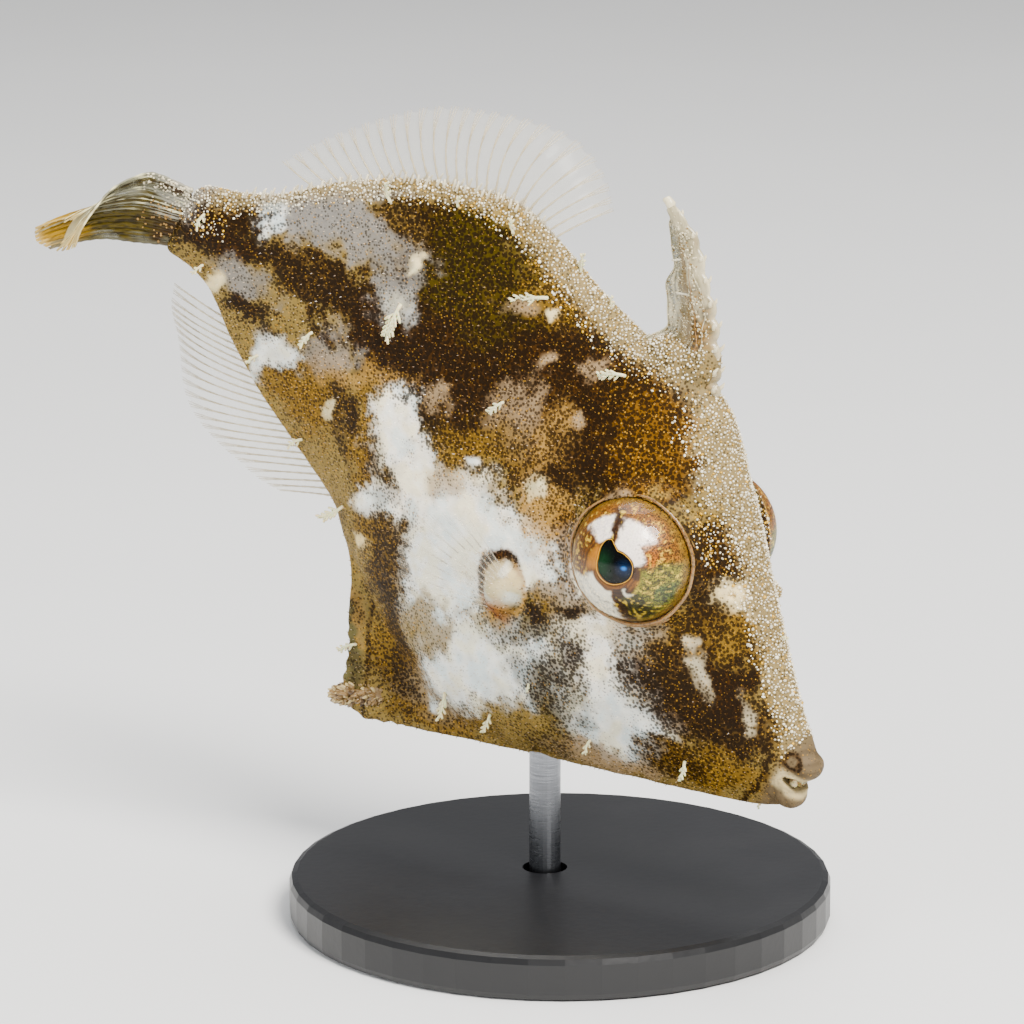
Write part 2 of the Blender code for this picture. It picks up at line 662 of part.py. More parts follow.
def make_edge_fins(parts):
    """The soft dorsal fin, laid over to the left in front, and the anal fin swept back."""
    dorsal = edge_fin_rows(
        DORSAL_FIN, back_up, 1,
        lean=lambda place: math.radians(between(DORSAL_LEAN, place)),
        sweep=lambda place: math.radians(between(DORSAL_SWEEP, place)),
    )
    link("soft_dorsal_fin", sheet("soft_dorsal_fin", dorsal, ray_thickness), parts, "fin")
    anal = edge_fin_rows(
        ANAL_FIN, belly_up, -1,
        lean=lambda place: math.radians(ANAL_LEAN) * math.sin(math.pi * place - 0.5),
        sweep=lambda place: math.radians(between(ANAL_SWEEP, place)),
    )
    link("anal_fin", sheet("anal_fin", anal, ray_thickness), parts, "fin")


def make_tail_fin(parts):
    """The half-closed tail fin: its upper rays droop down in front of the lower ones."""
    columns, steps = 2 * TAIL_FIN_RAYS - 1, 9
    rows = [[] for _ in range(steps)]
    for j in range(columns):
        place = j / (columns - 1)
        root = (back_up(STANDARD_LENGTH), belly_up(STANDARD_LENGTH))
        up = between(root, place) * TAIL_FIN_ROOT
        back = STANDARD_LENGTH + FIN_STANDS_OFF
        length = between(TAIL_LENGTHS, place) * (1 if j % 2 == 0 else 1 - NOTCH_BETWEEN_RAYS)
        first = math.radians(between(TAIL_ROOT_DROOP, place))
        last = math.radians(between(TAIL_TIP_DROOP, place))
        for i in range(steps):
            share = i / (steps - 1)
            side = (TAIL_LOWER_OUT * place - TAIL_CURL * (1 - place) ** 1.3) * share ** 1.4
            rows[i].append(in_world(back, up, side))
            angle = first + (last - first) * (share + 0.5 / (steps - 1)) ** 1.2
            back += length / (steps - 1) * math.cos(angle)
            up -= length / (steps - 1) * math.sin(angle)
    link("tail_fin", sheet("tail_fin", rows, ray_thickness), parts, "fin")


def make_pectoral_fins(parts, shell):
    """The small side fins, spread back from the gill opening; shell trims them off the body."""
    columns, steps = 2 * PECTORAL_RAYS - 1, 6
    for hand, name in ((1, "pectoral_fin_left"), (-1, "pectoral_fin_right")):
        rows = []
        for i in range(steps):
            share = i / (steps - 1)
            row = []
            for j in range(columns):
                place = j / (columns - 1) - 0.5
                fan = math.radians(PECTORAL_FAN * place - PECTORAL_RISE)
                root_back = PECTORAL_BACK + 0.25 * place
                root_up = PECTORAL_UP - PECTORAL_HEIGHT * place
                reach = PECTORAL_LENGTH * (1 - 1.1 * place * place) * share
                back, up = root_back + reach * math.cos(fan), root_up - reach * math.sin(fan)
                root_side = surface_half_width(root_back, root_up) - PECTORAL_ROOT * (1 - share ** 0.5)
                side = root_side + reach * math.tan(math.radians(PECTORAL_FLARE)) + PECTORAL_CUP * share
                row.append(in_world(back, up, hand * side))
            rows.append(row)
        fin = link(name, sheet(name, rows, ray_thickness), parts, "fin")
        combine(fin, [link("shell", shell.copy(), parts)], "DIFFERENCE")
        keep_largest(fin)


# Spines

def tapered(name, points, radii, sides=8, flat=1.0):
    """A tapered tube through points in the fish's frame; flat squeezes it from side to side."""
    spots = [Vector(p).to_3d() for p in points]
    rings = []
    for i, spot in enumerate(spots):
        ahead = (spots[min(i + 1, len(spots) - 1)] - spots[max(i - 1, 0)]).normalized()
        aside = Vector((0, 0, 1))
        if abs(ahead.z) > 0.9:
            aside = Vector((1, 0, 0))
        across = ahead.cross(aside).normalized()
        aside = across.cross(ahead).normalized()
        ring = []
        for k in range(sides):
            turn = 2 * math.pi * k / sides
            p = spot + (across * math.cos(turn) + aside * math.sin(turn) * flat) * radii[i]
            ring.append(in_world(p.x, p.y, p.z))
        rings.append(ring)
    return loft(name, rings)


def tag_pieces(back, up, hand, lean, length, parts):
    """One skin tag: a stalk that stands out from the skin and bends, with two side branches."""
    lean = Vector((lean[0], lean[1], 0)).normalized()
    if hand:
        skin = Vector((back, up, hand * surface_half_width(back, up)))
        out = (Vector((0, 0, hand)) + lean * 0.35).normalized()
    else:
        skin, out = Vector((back, up, 0)), lean
    root = skin - out * TAG_SUNK
    knee = skin + out * TAG_KNEE
    tip = knee + (lean + out * 0.25).normalized() * (length - TAG_KNEE)
    spread = lean.cross(Vector((0, 0, 1)))
    middle = TAG_ROOT_RADIUS * 0.75
    pieces = [tapered("tag", [root, knee, tip], [TAG_ROOT_RADIUS, middle, TAG_TIP_RADIUS], 5)]
    for sign, share in ((1, 0.1), (-1, 0.4)):
        fork = knee + (tip - knee) * share
        end = fork + ((tip - knee).normalized() + spread * sign * 0.9).normalized() * length * 0.5
        pieces.append(tapered("branch", [fork, end], [middle * (1 - share * 0.5), TAG_TIP_RADIUS], 4))
    return [link(mesh.name, mesh, parts) for mesh in pieces]


def make_tags(nodes, parts):
    """Fuses the skin tags to the nodes that they grow from."""
    for name, node in nodes.items():
        pieces = []
        for owner, back, up, sides, lean, length in SKIN_TAGS:
            for hand in sides:
                if owner == name:
                    pieces += tag_pieces(back, up, hand, lean, length, parts)
        if pieces:
            combine(node, pieces, "UNION", "MANIFOLD")
            keep_largest(node)


def make_dorsal_spine(parts, shell):
    """The tall first dorsal spine with its barbed front edge and the web of skin behind it."""
    count = 9
    shares = [i / (count - 1) for i in range(count)]
    line = [along(SPINE_LINE, s) for s in shares]
    radii = [SPINE_ROOT_RADIUS + (SPINE_TIP_RADIUS - SPINE_ROOT_RADIUS) * s ** 0.6 for s in shares]
    spine = link("dorsal_spine", tapered("dorsal_spine", line, radii, 10, 0.85), parts, "spine")
    added = []
    for i in range(SPINE_BARBS):
        share = 0.2 + 0.7 * i / (SPINE_BARBS - 1)
        here, ahead = Vector(along(SPINE_LINE, share)), Vector(along(SPINE_LINE, share + 0.04))
        lengthways = (ahead - here).normalized()
        front = Vector((-lengthways.y, lengthways.x))
        tip = here + front * between(BARB_REACH, share) + lengthways * BARB_LEAN
        barb = tapered("barb", [here + front * 0.1, tip], [0.34 - 0.1 * share, TAG_TIP_RADIUS], 6)
        added.append(link("barb", barb, parts))
    steps, wide = 9, 5
    rows = []
    for i in range(steps):
        share = i / (steps - 1)
        rear = Vector(along(WEB_LINE, share))
        front = Vector(along(SPINE_LINE, 0.04 + 0.92 * share))
        row = [front.lerp(rear, k / (wide - 1)) for k in range(wide)]
        rows.append([in_world(p.x, p.y, WEB_RIPPLE * math.sin(5 * share + k)) for k, p in enumerate(row)])
    web = sheet("web", rows, lambda share, column: WEB_HALF_THICKNESS - 0.05 * (column == 4))
    added.append(link("web", web, parts))
    combine(spine, added, "UNION", "MANIFOLD")
    combine(spine, [link("shell", shell.copy(), parts)], "DIFFERENCE", "MANIFOLD")
    keep_largest(spine)


def make_pelvic_spine(parts, flap):
    """The rough knob at the flap's lower hind corner, joined to the flap's own skin by a cut face."""
    line = [along(PELVIC_SPINE, s / 4) for s in range(len(PELVIC_RADII))]
    knob = link("pelvic_spine", tapered("pelvic_spine", line, PELVIC_RADII), parts, "spine")
    spurs = []
    for i, spur in enumerate(PELVIC_SPURS):
        root = Vector((*PELVIC_SPINE[1], 0.0)) + Vector((0.16 * i, -0.1 * i, 0))
        mesh = tapered("spur", [root, root + Vector(spur)], [0.3, TAG_TIP_RADIUS], 5)
        spurs.append(link("spur", mesh, parts))
    combine(knob, spurs, "UNION")
    keep_largest(knob)
    cutter = link("bed", knob.data.copy(), parts)
    middle = in_world(*PELVIC_SPINE[1])
    for v in cutter.data.vertices:
        away = v.co - middle
        v.co = v.co + away.normalized() * GAP * MM
    combine(flap, [cutter], "DIFFERENCE")
    keep_largest(flap)


def make_stand(parts):
    """A round base and one short rod up into the belly."""
    rod_x, rod_z = rod_place()
    base = link("stand_base", cylinder("stand_base", BASE_RADIUS, 0, BASE_THICKNESS, 0, 48), parts, "base")
    bevel = base.modifiers.new("soft edge", "BEVEL")
    bevel.width = BASE_BEVEL * MM
    bevel.segments = 2
    bevel.limit_method = "ANGLE"
    hole = cylinder("hole", ROD_RADIUS + GAP, BASE_THICKNESS - ROD_IN_BASE - GAP, BASE_THICKNESS + 1, rod_x, 24)
    combine(base, [link("hole", hole, parts)], "DIFFERENCE")
    rod = cylinder("stand_rod", ROD_RADIUS, BASE_THICKNESS - ROD_IN_BASE, rod_z + ROD_IN_BODY, rod_x, 24)
    link("stand_rod", rod, parts, "rod")


def make_eyes(parts):
    for hand, name in ((1, "eye_left"), (-1, "eye_right")):
        link(name, eyeball(name, hand), parts, "eye")


def make_teeth(parts):
    link("upper_teeth", tooth("upper_teeth", 1), parts, "tooth")
    link("lower_teeth", tooth("lower_teeth", -1), parts, "tooth")


def main():
    for old in list(bpy.data.objects):
        bpy.data.objects.remove(old)
    parts = bpy.data.collections.new("mottled filefish")
    bpy.context.scene.collection.children.link(parts)
    nodes = make_body(parts)
    make_tags(nodes, parts)
    shell = body_mesh("shell", GAP)
    make_dorsal_spine(parts, shell)
    make_edge_fins(parts)
    make_tail_fin(parts)
    make_pectoral_fins(parts, shell)
    make_pelvic_spine(parts, nodes["belly_flap"])
    make_eyes(parts)
    make_teeth(parts)
    make_stand(parts)
    bpy.data.meshes.remove(shell)
    for made in parts.objects:
        made.data.shade_smooth()
        made.data.set_sharp_from_angle(angle=math.radians(40))


main()
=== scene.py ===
import json
import math
import bpy
import bmesh
import numpy as np
from mathutils import Matrix, Vector

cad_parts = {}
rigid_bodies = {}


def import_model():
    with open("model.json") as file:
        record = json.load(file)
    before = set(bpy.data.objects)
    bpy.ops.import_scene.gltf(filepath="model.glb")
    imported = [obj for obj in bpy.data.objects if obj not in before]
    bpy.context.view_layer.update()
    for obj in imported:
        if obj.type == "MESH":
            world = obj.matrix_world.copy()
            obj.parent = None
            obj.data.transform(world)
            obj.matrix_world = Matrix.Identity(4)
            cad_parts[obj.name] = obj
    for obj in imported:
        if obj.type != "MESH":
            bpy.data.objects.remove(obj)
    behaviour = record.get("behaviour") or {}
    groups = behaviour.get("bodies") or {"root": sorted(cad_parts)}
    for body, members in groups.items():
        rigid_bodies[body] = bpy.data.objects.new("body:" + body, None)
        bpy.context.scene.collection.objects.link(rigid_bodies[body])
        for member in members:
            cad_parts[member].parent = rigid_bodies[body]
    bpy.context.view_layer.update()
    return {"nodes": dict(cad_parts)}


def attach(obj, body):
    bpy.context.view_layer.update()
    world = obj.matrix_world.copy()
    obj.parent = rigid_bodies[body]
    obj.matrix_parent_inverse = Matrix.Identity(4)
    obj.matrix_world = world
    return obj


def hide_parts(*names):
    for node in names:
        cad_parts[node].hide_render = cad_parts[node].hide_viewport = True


for old in list(bpy.data.objects):
    bpy.data.objects.remove(old)
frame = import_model()
print("frame loaded:", len(frame["nodes"]), "solids")

# The fish's own frame: back runs from snout to tail, up towards the back edge, side to the fish's left.
# Everything is built in millimetres and scaled to metres when it is linked.
# The lines are pairs of back and value: the edges seen from the side, where the flesh ends above the
# belly flap, the half width, and how high the body is widest.
bodyPlan = {
    "snoutX": 13.3, "snoutZ": 9.15, "pitch": math.radians(34), "bendStart": 16.0, "bendAtTail": 4.8,
    "length": 37.2,
    "backLine": [(-0.3, 0.2), (0.3, 0.65), (2.2, 1.9), (6.9, 5.7), (10.1, 8.3), (12.6, 10.0), (14.4, 10.3),
                 (17.6, 9.65), (20.1, 9.8), (22.8, 10.35), (24.6, 10.6), (28.2, 9.3), (32.0, 6.4),
                 (34.2, 3.95), (35.6, 3.0), (37.2, 2.4)],
    "bellyLine": [(-0.3, -2.0), (0.3, -2.6), (1.8, -3.8), (6.2, -6.7), (9.9, -9.1), (13.6, -11.6),
                  (17.3, -14.1), (19.4, -15.3), (20.4, -15.0), (21.2, -13.2), (22.1, -11.6), (22.9, -9.9),
                  (23.9, -8.7), (25.3, -7.4), (26.9, -6.7), (29.8, -5.5), (32.9, -3.6), (35.0, -1.9),
                  (36.2, -1.6), (37.2, -1.8)],
    "fleshLine": [(-0.3, -2.1), (6.2, -6.7), (12.0, -10.3), (16.0, -11.6), (20.0, -10.6), (23.4, -8.9),
                  (26.9, -6.7), (37.2, -1.8)],
    "halfWidth": [(-0.3, 0.6), (0.3, 0.9), (1.5, 1.25), (3.0, 1.7), (6.0, 2.5), (9.0, 3.2), (12.0, 3.6),
                  (16.0, 3.6), (20.0, 3.2), (24.0, 2.5), (28.0, 1.8), (32.0, 1.15), (35.0, 0.9), (37.2, 0.7)],
    "widestUp": [(-0.3, -0.8), (6.0, -0.3), (10.0, 0.9), (16.0, 0.4), (22.0, 0.4), (28.0, 1.2), (34.0, 0.9),
                 (37.2, 0.4)],
    "flapHalf": 0.36, "backRound": 1.75, "bellyRound": 1.7, "inset": 0.04,
}
toMetres = 0.001
tiny = 1e-9


def smoothCurve(points):
    # a curve through the points that never overshoots them
    xs, ys = np.array(points, float).T
    steps = np.diff(xs)
    slopes = np.diff(ys) / steps
    tangents = np.zeros(len(xs))
    tangents[0], tangents[-1] = slopes[0], slopes[-1]
    for i in range(1, len(xs) - 1):
        if slopes[i - 1] * slopes[i] > 0:
            left, right = 2 * steps[i] + steps[i - 1], steps[i] + 2 * steps[i - 1]
            tangents[i] = (left + right) / (left / slopes[i - 1] + right / slopes[i])

    def value(x):
        x = np.asarray(x, float)
        i = np.clip(np.searchsorted(xs, x) - 1, 0, len(steps) - 1)
        t = np.clip((x - xs[i]) / steps[i], 0, 1)
        rise = (3 - 2 * t) * t * t
        bow = steps[i] * (tangents[i] * t * (1 - t) ** 2 - tangents[i + 1] * t * t * (1 - t))
        return ys[i] * (1 - rise) + ys[i + 1] * rise + bow

    return value


def evenCurve(values):
    return smoothCurve(list(zip(np.linspace(0, 1, len(values)), values)))


def lineAt(points, share):
    # points along a smooth line, at shares of its length
    flat = np.array(points, float)
    reach = np.concatenate([[0], np.cumsum(np.linalg.norm(np.diff(flat, axis=0), axis=1))])
    curves = [smoothCurve(list(zip(reach / reach[-1], column))) for column in flat.T]
    return np.stack([curve(share) for curve in curves], axis=-1)


backUp, bellyUp, fleshUp, halfWidth, widestUp = (
    smoothCurve(bodyPlan[name]) for name in ("backLine", "bellyLine", "fleshLine", "halfWidth", "widestUp"))
cosPitch, sinPitch = math.cos(bodyPlan["pitch"]), math.sin(bodyPlan["pitch"])


def bendSide(back):
    past = np.maximum(0.0, np.asarray(back, float) - bodyPlan["bendStart"])
    return -bodyPlan["bendAtTail"] * (past / (bodyPlan["length"] - bodyPlan["bendStart"])) ** 2


def inWorld(back, up, side):
    # fish places to world millimetres, for numbers or arrays
    back, up, side = np.broadcast_arrays(*[np.asarray(v, float) for v in (back, up, side)])
    x = bodyPlan["snoutX"] - back * cosPitch + up * sinPitch
    z = bodyPlan["snoutZ"] + back * sinPitch + up * cosPitch
    return np.stack([x, side + bendSide(back), z], axis=-1)


def inFish(points):
    dx, dz = bodyPlan["snoutX"] - points[..., 0], points[..., 2] - bodyPlan["snoutZ"]
    back, up = dx * cosPitch + dz * sinPitch, dz * cosPitch - dx * sinPitch
    return back, up, points[..., 1] - bendSide(back)


def skinHalfWidth(back, up):
    back, up = np.asarray(back, float), np.asarray(up, float)
    top, bottom, middle = backUp(back), bellyUp(back), widestUp(back)
    flesh = np.maximum(fleshUp(back), bottom)
    above = up >= middle
    share = np.where(above, (up - middle) / (top - middle), (middle - up) / (middle - flesh))
    power = np.where(above, bodyPlan["backRound"], bodyPlan["bellyRound"])
    body = halfWidth(back) * np.maximum(0, 1 - np.clip(share, 0, 1) ** power) ** (1 / power)
    fromEdge = np.clip(np.minimum(up - bottom, top - up) / bodyPlan["flapHalf"], 0, 1)
    sheet = bodyPlan["flapHalf"] * np.sqrt(np.maximum(0, 1 - (1 - fromEdge) ** 2))
    return (body ** 4 + sheet ** 4) ** 0.25


# Blends and noise

def softStep(low, high, value):
    t = np.clip((value - low) / (high - low), 0, 1)
    return t * t * (3 - 2 * t)


def blended(under, over, share):
    # over laid on under, with a share for each row
    return under * (1 - share[:, None]) + over * share[:, None]


noiseTables = {}
noiseSize, noiseShift = 32, 100


def fieldNoise(points, spacing, seed):
    # smooth noise from -1 to 1, the same each run
    if seed not in noiseTables:
        noiseTables[seed] = np.random.default_rng(seed).random((noiseSize,) * 3) * 2 - 1
    q = np.asarray(points, float) / spacing + noiseShift
    i = np.floor(q).astype(int)
    f = q - i
    f = f * f * (3 - 2 * f)
    total = np.zeros(len(q))
    for corner in range(8):
        step = np.array([corner & 1, corner >> 1 & 1, corner >> 2 & 1])
        weight = np.prod(np.where(step == 1, f, 1 - f), axis=1)
        x, y, z = ((i + step) % noiseSize).T
        total += weight * noiseTables[seed][x, y, z]
    return total


def patches(points, spacing, seed, low, high):
    # soft-edged patches of noise, 0 where it is under low and 1 where it is over high
    return softStep(low, high, fieldNoise(points, spacing, seed))


def unit(vectors):
    return vectors / np.maximum(np.linalg.norm(vectors, axis=-1, keepdims=True), tiny)


def toned(rgb):
    # screen colour to the linear colour that a shader wants
    return np.array([c / 12.92 if c <= 0.04045 else ((c + 0.055) / 1.055) ** 2.4 for c in rgb])


# Mesh helpers

def meshOf(name, points, faces):
    mesh = bpy.data.meshes.new(name)
    mesh.from_pydata(np.asarray(points, float).tolist(), [], faces)
    mesh.update()
    return mesh


def meshFrom(shape, name):
    mesh = bpy.data.meshes.new(name)
    shape.to_mesh(mesh)
    shape.free()
    return mesh


def setTone(mesh, attribute, tones):
    layer = mesh.attributes.new(attribute, "FLOAT_COLOR", "POINT")
    layer.data.foreach_set("color", np.asarray(tones, np.float32).ravel())


def ringFaces(rings, sides, split=True, closed=True):
    # faces between rings of points, in triangles or not; closed adds both ends, whose middles come last
    faces = []
    for i in range(rings - 1):
        for j in range(sides):
            a, b = i * sides + j, i * sides + (j + 1) % sides
            c, d = b + sides, a + sides
            faces += [(a, b, c), (a, c, d)] if split else [(a, b, c, d)]
    last = (rings - 1) * sides
    for j in range(sides if closed else 0):
        k = (j + 1) % sides
        faces += [(k, j, rings * sides), (last + j, last + k, rings * sides + 1)]
    return faces


def tube(points, radii, sides=6, flat=1.0):
    # closed tapered tube through world points, with rounded ends
    points = np.asarray(points, float)
    radii = np.broadcast_to(np.asarray(radii, float), (len(points),))
    ahead = unit(np.gradient(points, axis=0))
    across = unit(np.cross(ahead, np.array([0.13, 0.98, 0.11])))
    aside = np.cross(across, ahead)
    angle = (np.arange(sides) * 2 * math.pi / sides)[None, :, None]
    ring = np.cos(angle) * across[:, None] + np.sin(angle) * aside[:, None] * flat
    rings = points[:, None] + ring * radii[:, None, None]
    ends = np.stack([points[0] - ahead[0] * radii[0] * 0.7, points[-1] + ahead[-1] * radii[-1] * 0.7])
    return np.concatenate([rings.reshape(-1, 3), ends]), ringFaces(len(points), sides)


def newPile():
    # many small forms gathered for one mesh: points, faces, a tone and a bake place for each point
    return {"points": [], "faces": [], "tones": [], "places": [], "count": 0}


# how a small form lies flat in the bake map
bakeSpread = np.array([[0.7, 0.2], [0.3, 0.7], [0.6, -0.6]]) * 0.0013


def addToPile(pile, points, faces, tone, place=None):
    # tone is red, green, blue and how thick it looks, for all points or for each
    points = np.asarray(points, float)
    pile["points"].append(points)
    pile["faces"].append(np.asarray(faces, int) + pile["count"])
    pile["tones"].append(np.broadcast_to(np.asarray(tone, float), (len(points), 4)))
    if place is not None:
        local = points - points.mean(0)
        pile["places"].append(place + local @ bakeSpread / max(float(np.abs(local).max()), 1e-6))
    pile["count"] += len(points)


def addTube(pile, points, radii, sides, tone, thick=1.0, place=None):
    addToPile(pile, *tube(points, radii, sides), (*tone, thick), place)


def meshOfPile(name, pile, attribute):
    faces = [face for group in pile["faces"] for face in group.tolist()]
    mesh = meshOf(name, np.concatenate(pile["points"]), faces)
    setTone(mesh, attribute, np.concatenate(pile["tones"]))
    if pile["places"]:
        corner = np.empty(len(mesh.loops), np.int32)
        mesh.loops.foreach_get("vertex_index", corner)
        layer = mesh.uv_layers.new(name="OFBake")
        layer.data.foreach_set("uv", np.concatenate(pile["places"])[corner].astype(np.float32).ravel())
    return mesh


def addObject(name, data):
    made = bpy.data.objects.new(name, data)
    bpy.context.scene.collection.objects.link(made)
    return made


def addPiece(name, mesh, material, slot, *nodes, smooth=True):
    # a piece of the model on its body, with its finish; nodes are the solids that it stands for
    mesh.transform(Matrix.Scale(toMetres, 4))
    mesh.polygons.foreach_set("use_smooth", [smooth] * len(mesh.polygons))
    mesh.materials.clear()
    mesh.materials.append(material)
    made = addObject(name, mesh)
    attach(made, "root")
    if nodes:
        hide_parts(*nodes)
    return made


def applied(made):
    # the object with its modifiers worked into its mesh
    bpy.context.view_layer.update()
    graph = bpy.context.evaluated_depsgraph_get()
    mesh = bpy.data.meshes.new_from_object(made.evaluated_get(graph))
    made.modifiers.clear()
    made.data = mesh


def outward(mesh):
    shape = bmesh.new()
    shape.from_mesh(mesh)
    bmesh.ops.recalc_face_normals(shape, faces=shape.faces)
    if shape.calc_volume(signed=True) < 0:
        bmesh.ops.reverse_faces(shape, faces=shape.faces)
    shape.to_mesh(mesh)
    shape.free()
    return mesh


def ellipsoid(back, up, side, radii, segments=32, rings=20):
    shape = bmesh.new()
    bmesh.ops.create_uvsphere(shape, u_segments=segments, v_segments=rings, radius=1.0)
    for v in shape.verts:
        v.co = Vector(inWorld(back + radii[0] * v.co.x, up + radii[2] * v.co.z, side + radii[1] * v.co.y))
    bmesh.ops.recalc_face_normals(shape, faces=shape.faces)
    return meshFrom(shape, "ellipsoid")


def ball(radius, height, matrix, segments=48):
    shape = bmesh.new()
    bmesh.ops.create_uvsphere(shape, u_segments=segments, v_segments=segments // 2, radius=radius)
    for v in shape.verts:
        v.co.z *= height / radius
    bmesh.ops.transform(shape, matrix=matrix, verts=shape.verts)
    return meshFrom(shape, "ball")


# Material helpers

def newMaterial(name, sockets):
    # sockets are the values that are the same all over, set on the shader itself
    made = bpy.data.materials.new(name)
    made.use_nodes = True
    shader = made.node_tree.nodes["Principled BSDF"]
    for key, value in sockets.items():
        shader.inputs[key].default_value = value
    return made, made.node_tree, shader


def node(tree, kind, **values):
    made = tree.nodes.new("ShaderNode" + kind)
    for key, value in values.items():
        if hasattr(made, key):
            setattr(made, key, value)
        else:
            made.inputs[key].default_value = value
    return made


def fill(tree, socket, value):
    # a socket gets a number, a colour or another node's output
    if isinstance(value, (int, float)):
        socket.default_value = value
    elif isinstance(value, np.ndarray):
        socket.default_value = (*value, 1.0)
    elif value is not None:
        tree.links.new(value, socket)


def maths(tree, operation, a, b=None, c=None, clamp=False):
    made = node(tree, "Math", operation=operation, use_clamp=clamp)
    for socket, value in zip(made.inputs, (a, b, c)):
        fill(tree, socket, value)
    return made.outputs[0]


def times(tree, a, b):
    return maths(tree, "MULTIPLY", a, b)


def scaled(tree, value, factor, offset, clamp=False):
    return maths(tree, "MULTIPLY_ADD", value, factor, offset, clamp)


def mixColour(tree, share, a, b, blend="MIX"):
    made = node(tree, "Mix", data_type="RGBA", blend_type=blend)
    for index, value in ((0, share), (6, a), (7, b)):
        fill(tree, made.inputs[index], value)
    return made.outputs[2]


def placeOf(tree):
    return node(tree, "TexCoord").outputs["Object"]


def noise(tree, place, scale, detail):
    made = node(tree, "TexNoise", Scale=scale, Detail=detail)
    fill(tree, made.inputs["Vector"], place)
    return made.outputs["Fac"]


def spots(tree, place, scale, radius, softness=6.0):
    # round dots of a cell pattern: 1 inside a dot, 0 between; radius is a number or a socket, in cells
    cells = node(tree, "TexVoronoi", Scale=scale, Randomness=0.85)
    fill(tree, cells.inputs["Vector"], place)
    inside = maths(tree, "SUBTRACT", radius, cells.outputs["Distance"])
    return scaled(tree, inside, softness, 0.5, clamp=True), cells.outputs["Distance"]


def brighter(tree, colour, value):
    made = node(tree, "HueSaturation")
    fill(tree, made.inputs["Color"], colour)
    fill(tree, made.inputs["Value"], value)
    return made.outputs["Color"]


def wireUp(tree, shader, colour, rough=None, height=None, strength=0.4, depth=0.00002):
    # what changes over the surface: colour, roughness and relief
    fill(tree, shader.inputs["Base Color"], colour)
    fill(tree, shader.inputs["Roughness"], rough)
    if height is not None:
        bump = node(tree, "Bump", Strength=strength, Distance=depth)
        fill(tree, bump.inputs["Height"], height)
        fill(tree, shader.inputs["Normal"], bump.outputs["Normal"])


def tonedMaterial(name, attribute, finish):
    # painted by an attribute, with a fine mottle and grain of its own
    made, tree, shader = newMaterial(name, finish["shader"])
    place = placeOf(tree)
    painted = node(tree, "Attribute", attribute_name=attribute)
    mottle = noise(tree, place, finish["grain"] * 0.6, 3.0)
    shade = scaled(tree, mottle, 2 * finish["tint"], 1 - finish["tint"])
    grain = noise(tree, place, finish["grain"], 4.0)
    rough = scaled(tree, grain, 0.3, finish["roughness"] - 0.15)
    colour = brighter(tree, painted.outputs["Color"], shade)
    wireUp(tree, shader, colour, rough, grain, finish["strength"], finish["depth"])
    if finish.get("veil"):
        fill(tree, shader.inputs["Alpha"], painted.outputs["Alpha"])
    return made


# Skin markings: under-colour as seen on screen, then how thick the dark dots lie, then the golden grains
skinTones = {
    "sand": ((0.5, 0.41, 0.2), 0.55, 0.7), "ridge": ((0.5, 0.43, 0.28), 0.45, 0.55),
    "lobe": ((0.78, 0.7, 0.52), 0.1, 0.45), "flap": ((0.34, 0.32, 0.19), 0.3, 0.4),
    "umber": ((0.2, 0.115, 0.01), 1.0, 0.5), "amber": ((0.44, 0.29, 0.03), 0.88, 0.9),
    "olive": ((0.23, 0.185, 0.0), 0.88, 0.45), "rust": ((0.5, 0.28, 0.08), 0.7, 0.6),
    "goldBrown": ((0.45, 0.33, 0.07), 0.7, 0.8), "gold": ((0.66, 0.5, 0.24), 0.55, 0.9),
    "greyBlue": ((0.48, 0.46, 0.43), 0.48, 0.6), "pearl": ((0.92, 0.92, 0.88), 0.09, 0.42),
    "white": ((1.0, 0.97, 0.9), 0.03, 0.32), "cream": ((0.95, 0.86, 0.64), 0.06, 0.25),
    "blush": ((0.6, 0.5, 0.37), 0.46, 0.85), "lip": ((0.37, 0.31, 0.23), 0.24, 0.6),
    "chalk": ((0.8, 0.74, 0.6), 0.32, 0.65),
}
toneRows = {name: np.array([*toned(rgb), dots, grains]) for name, (rgb, dots, grains) in skinTones.items()}
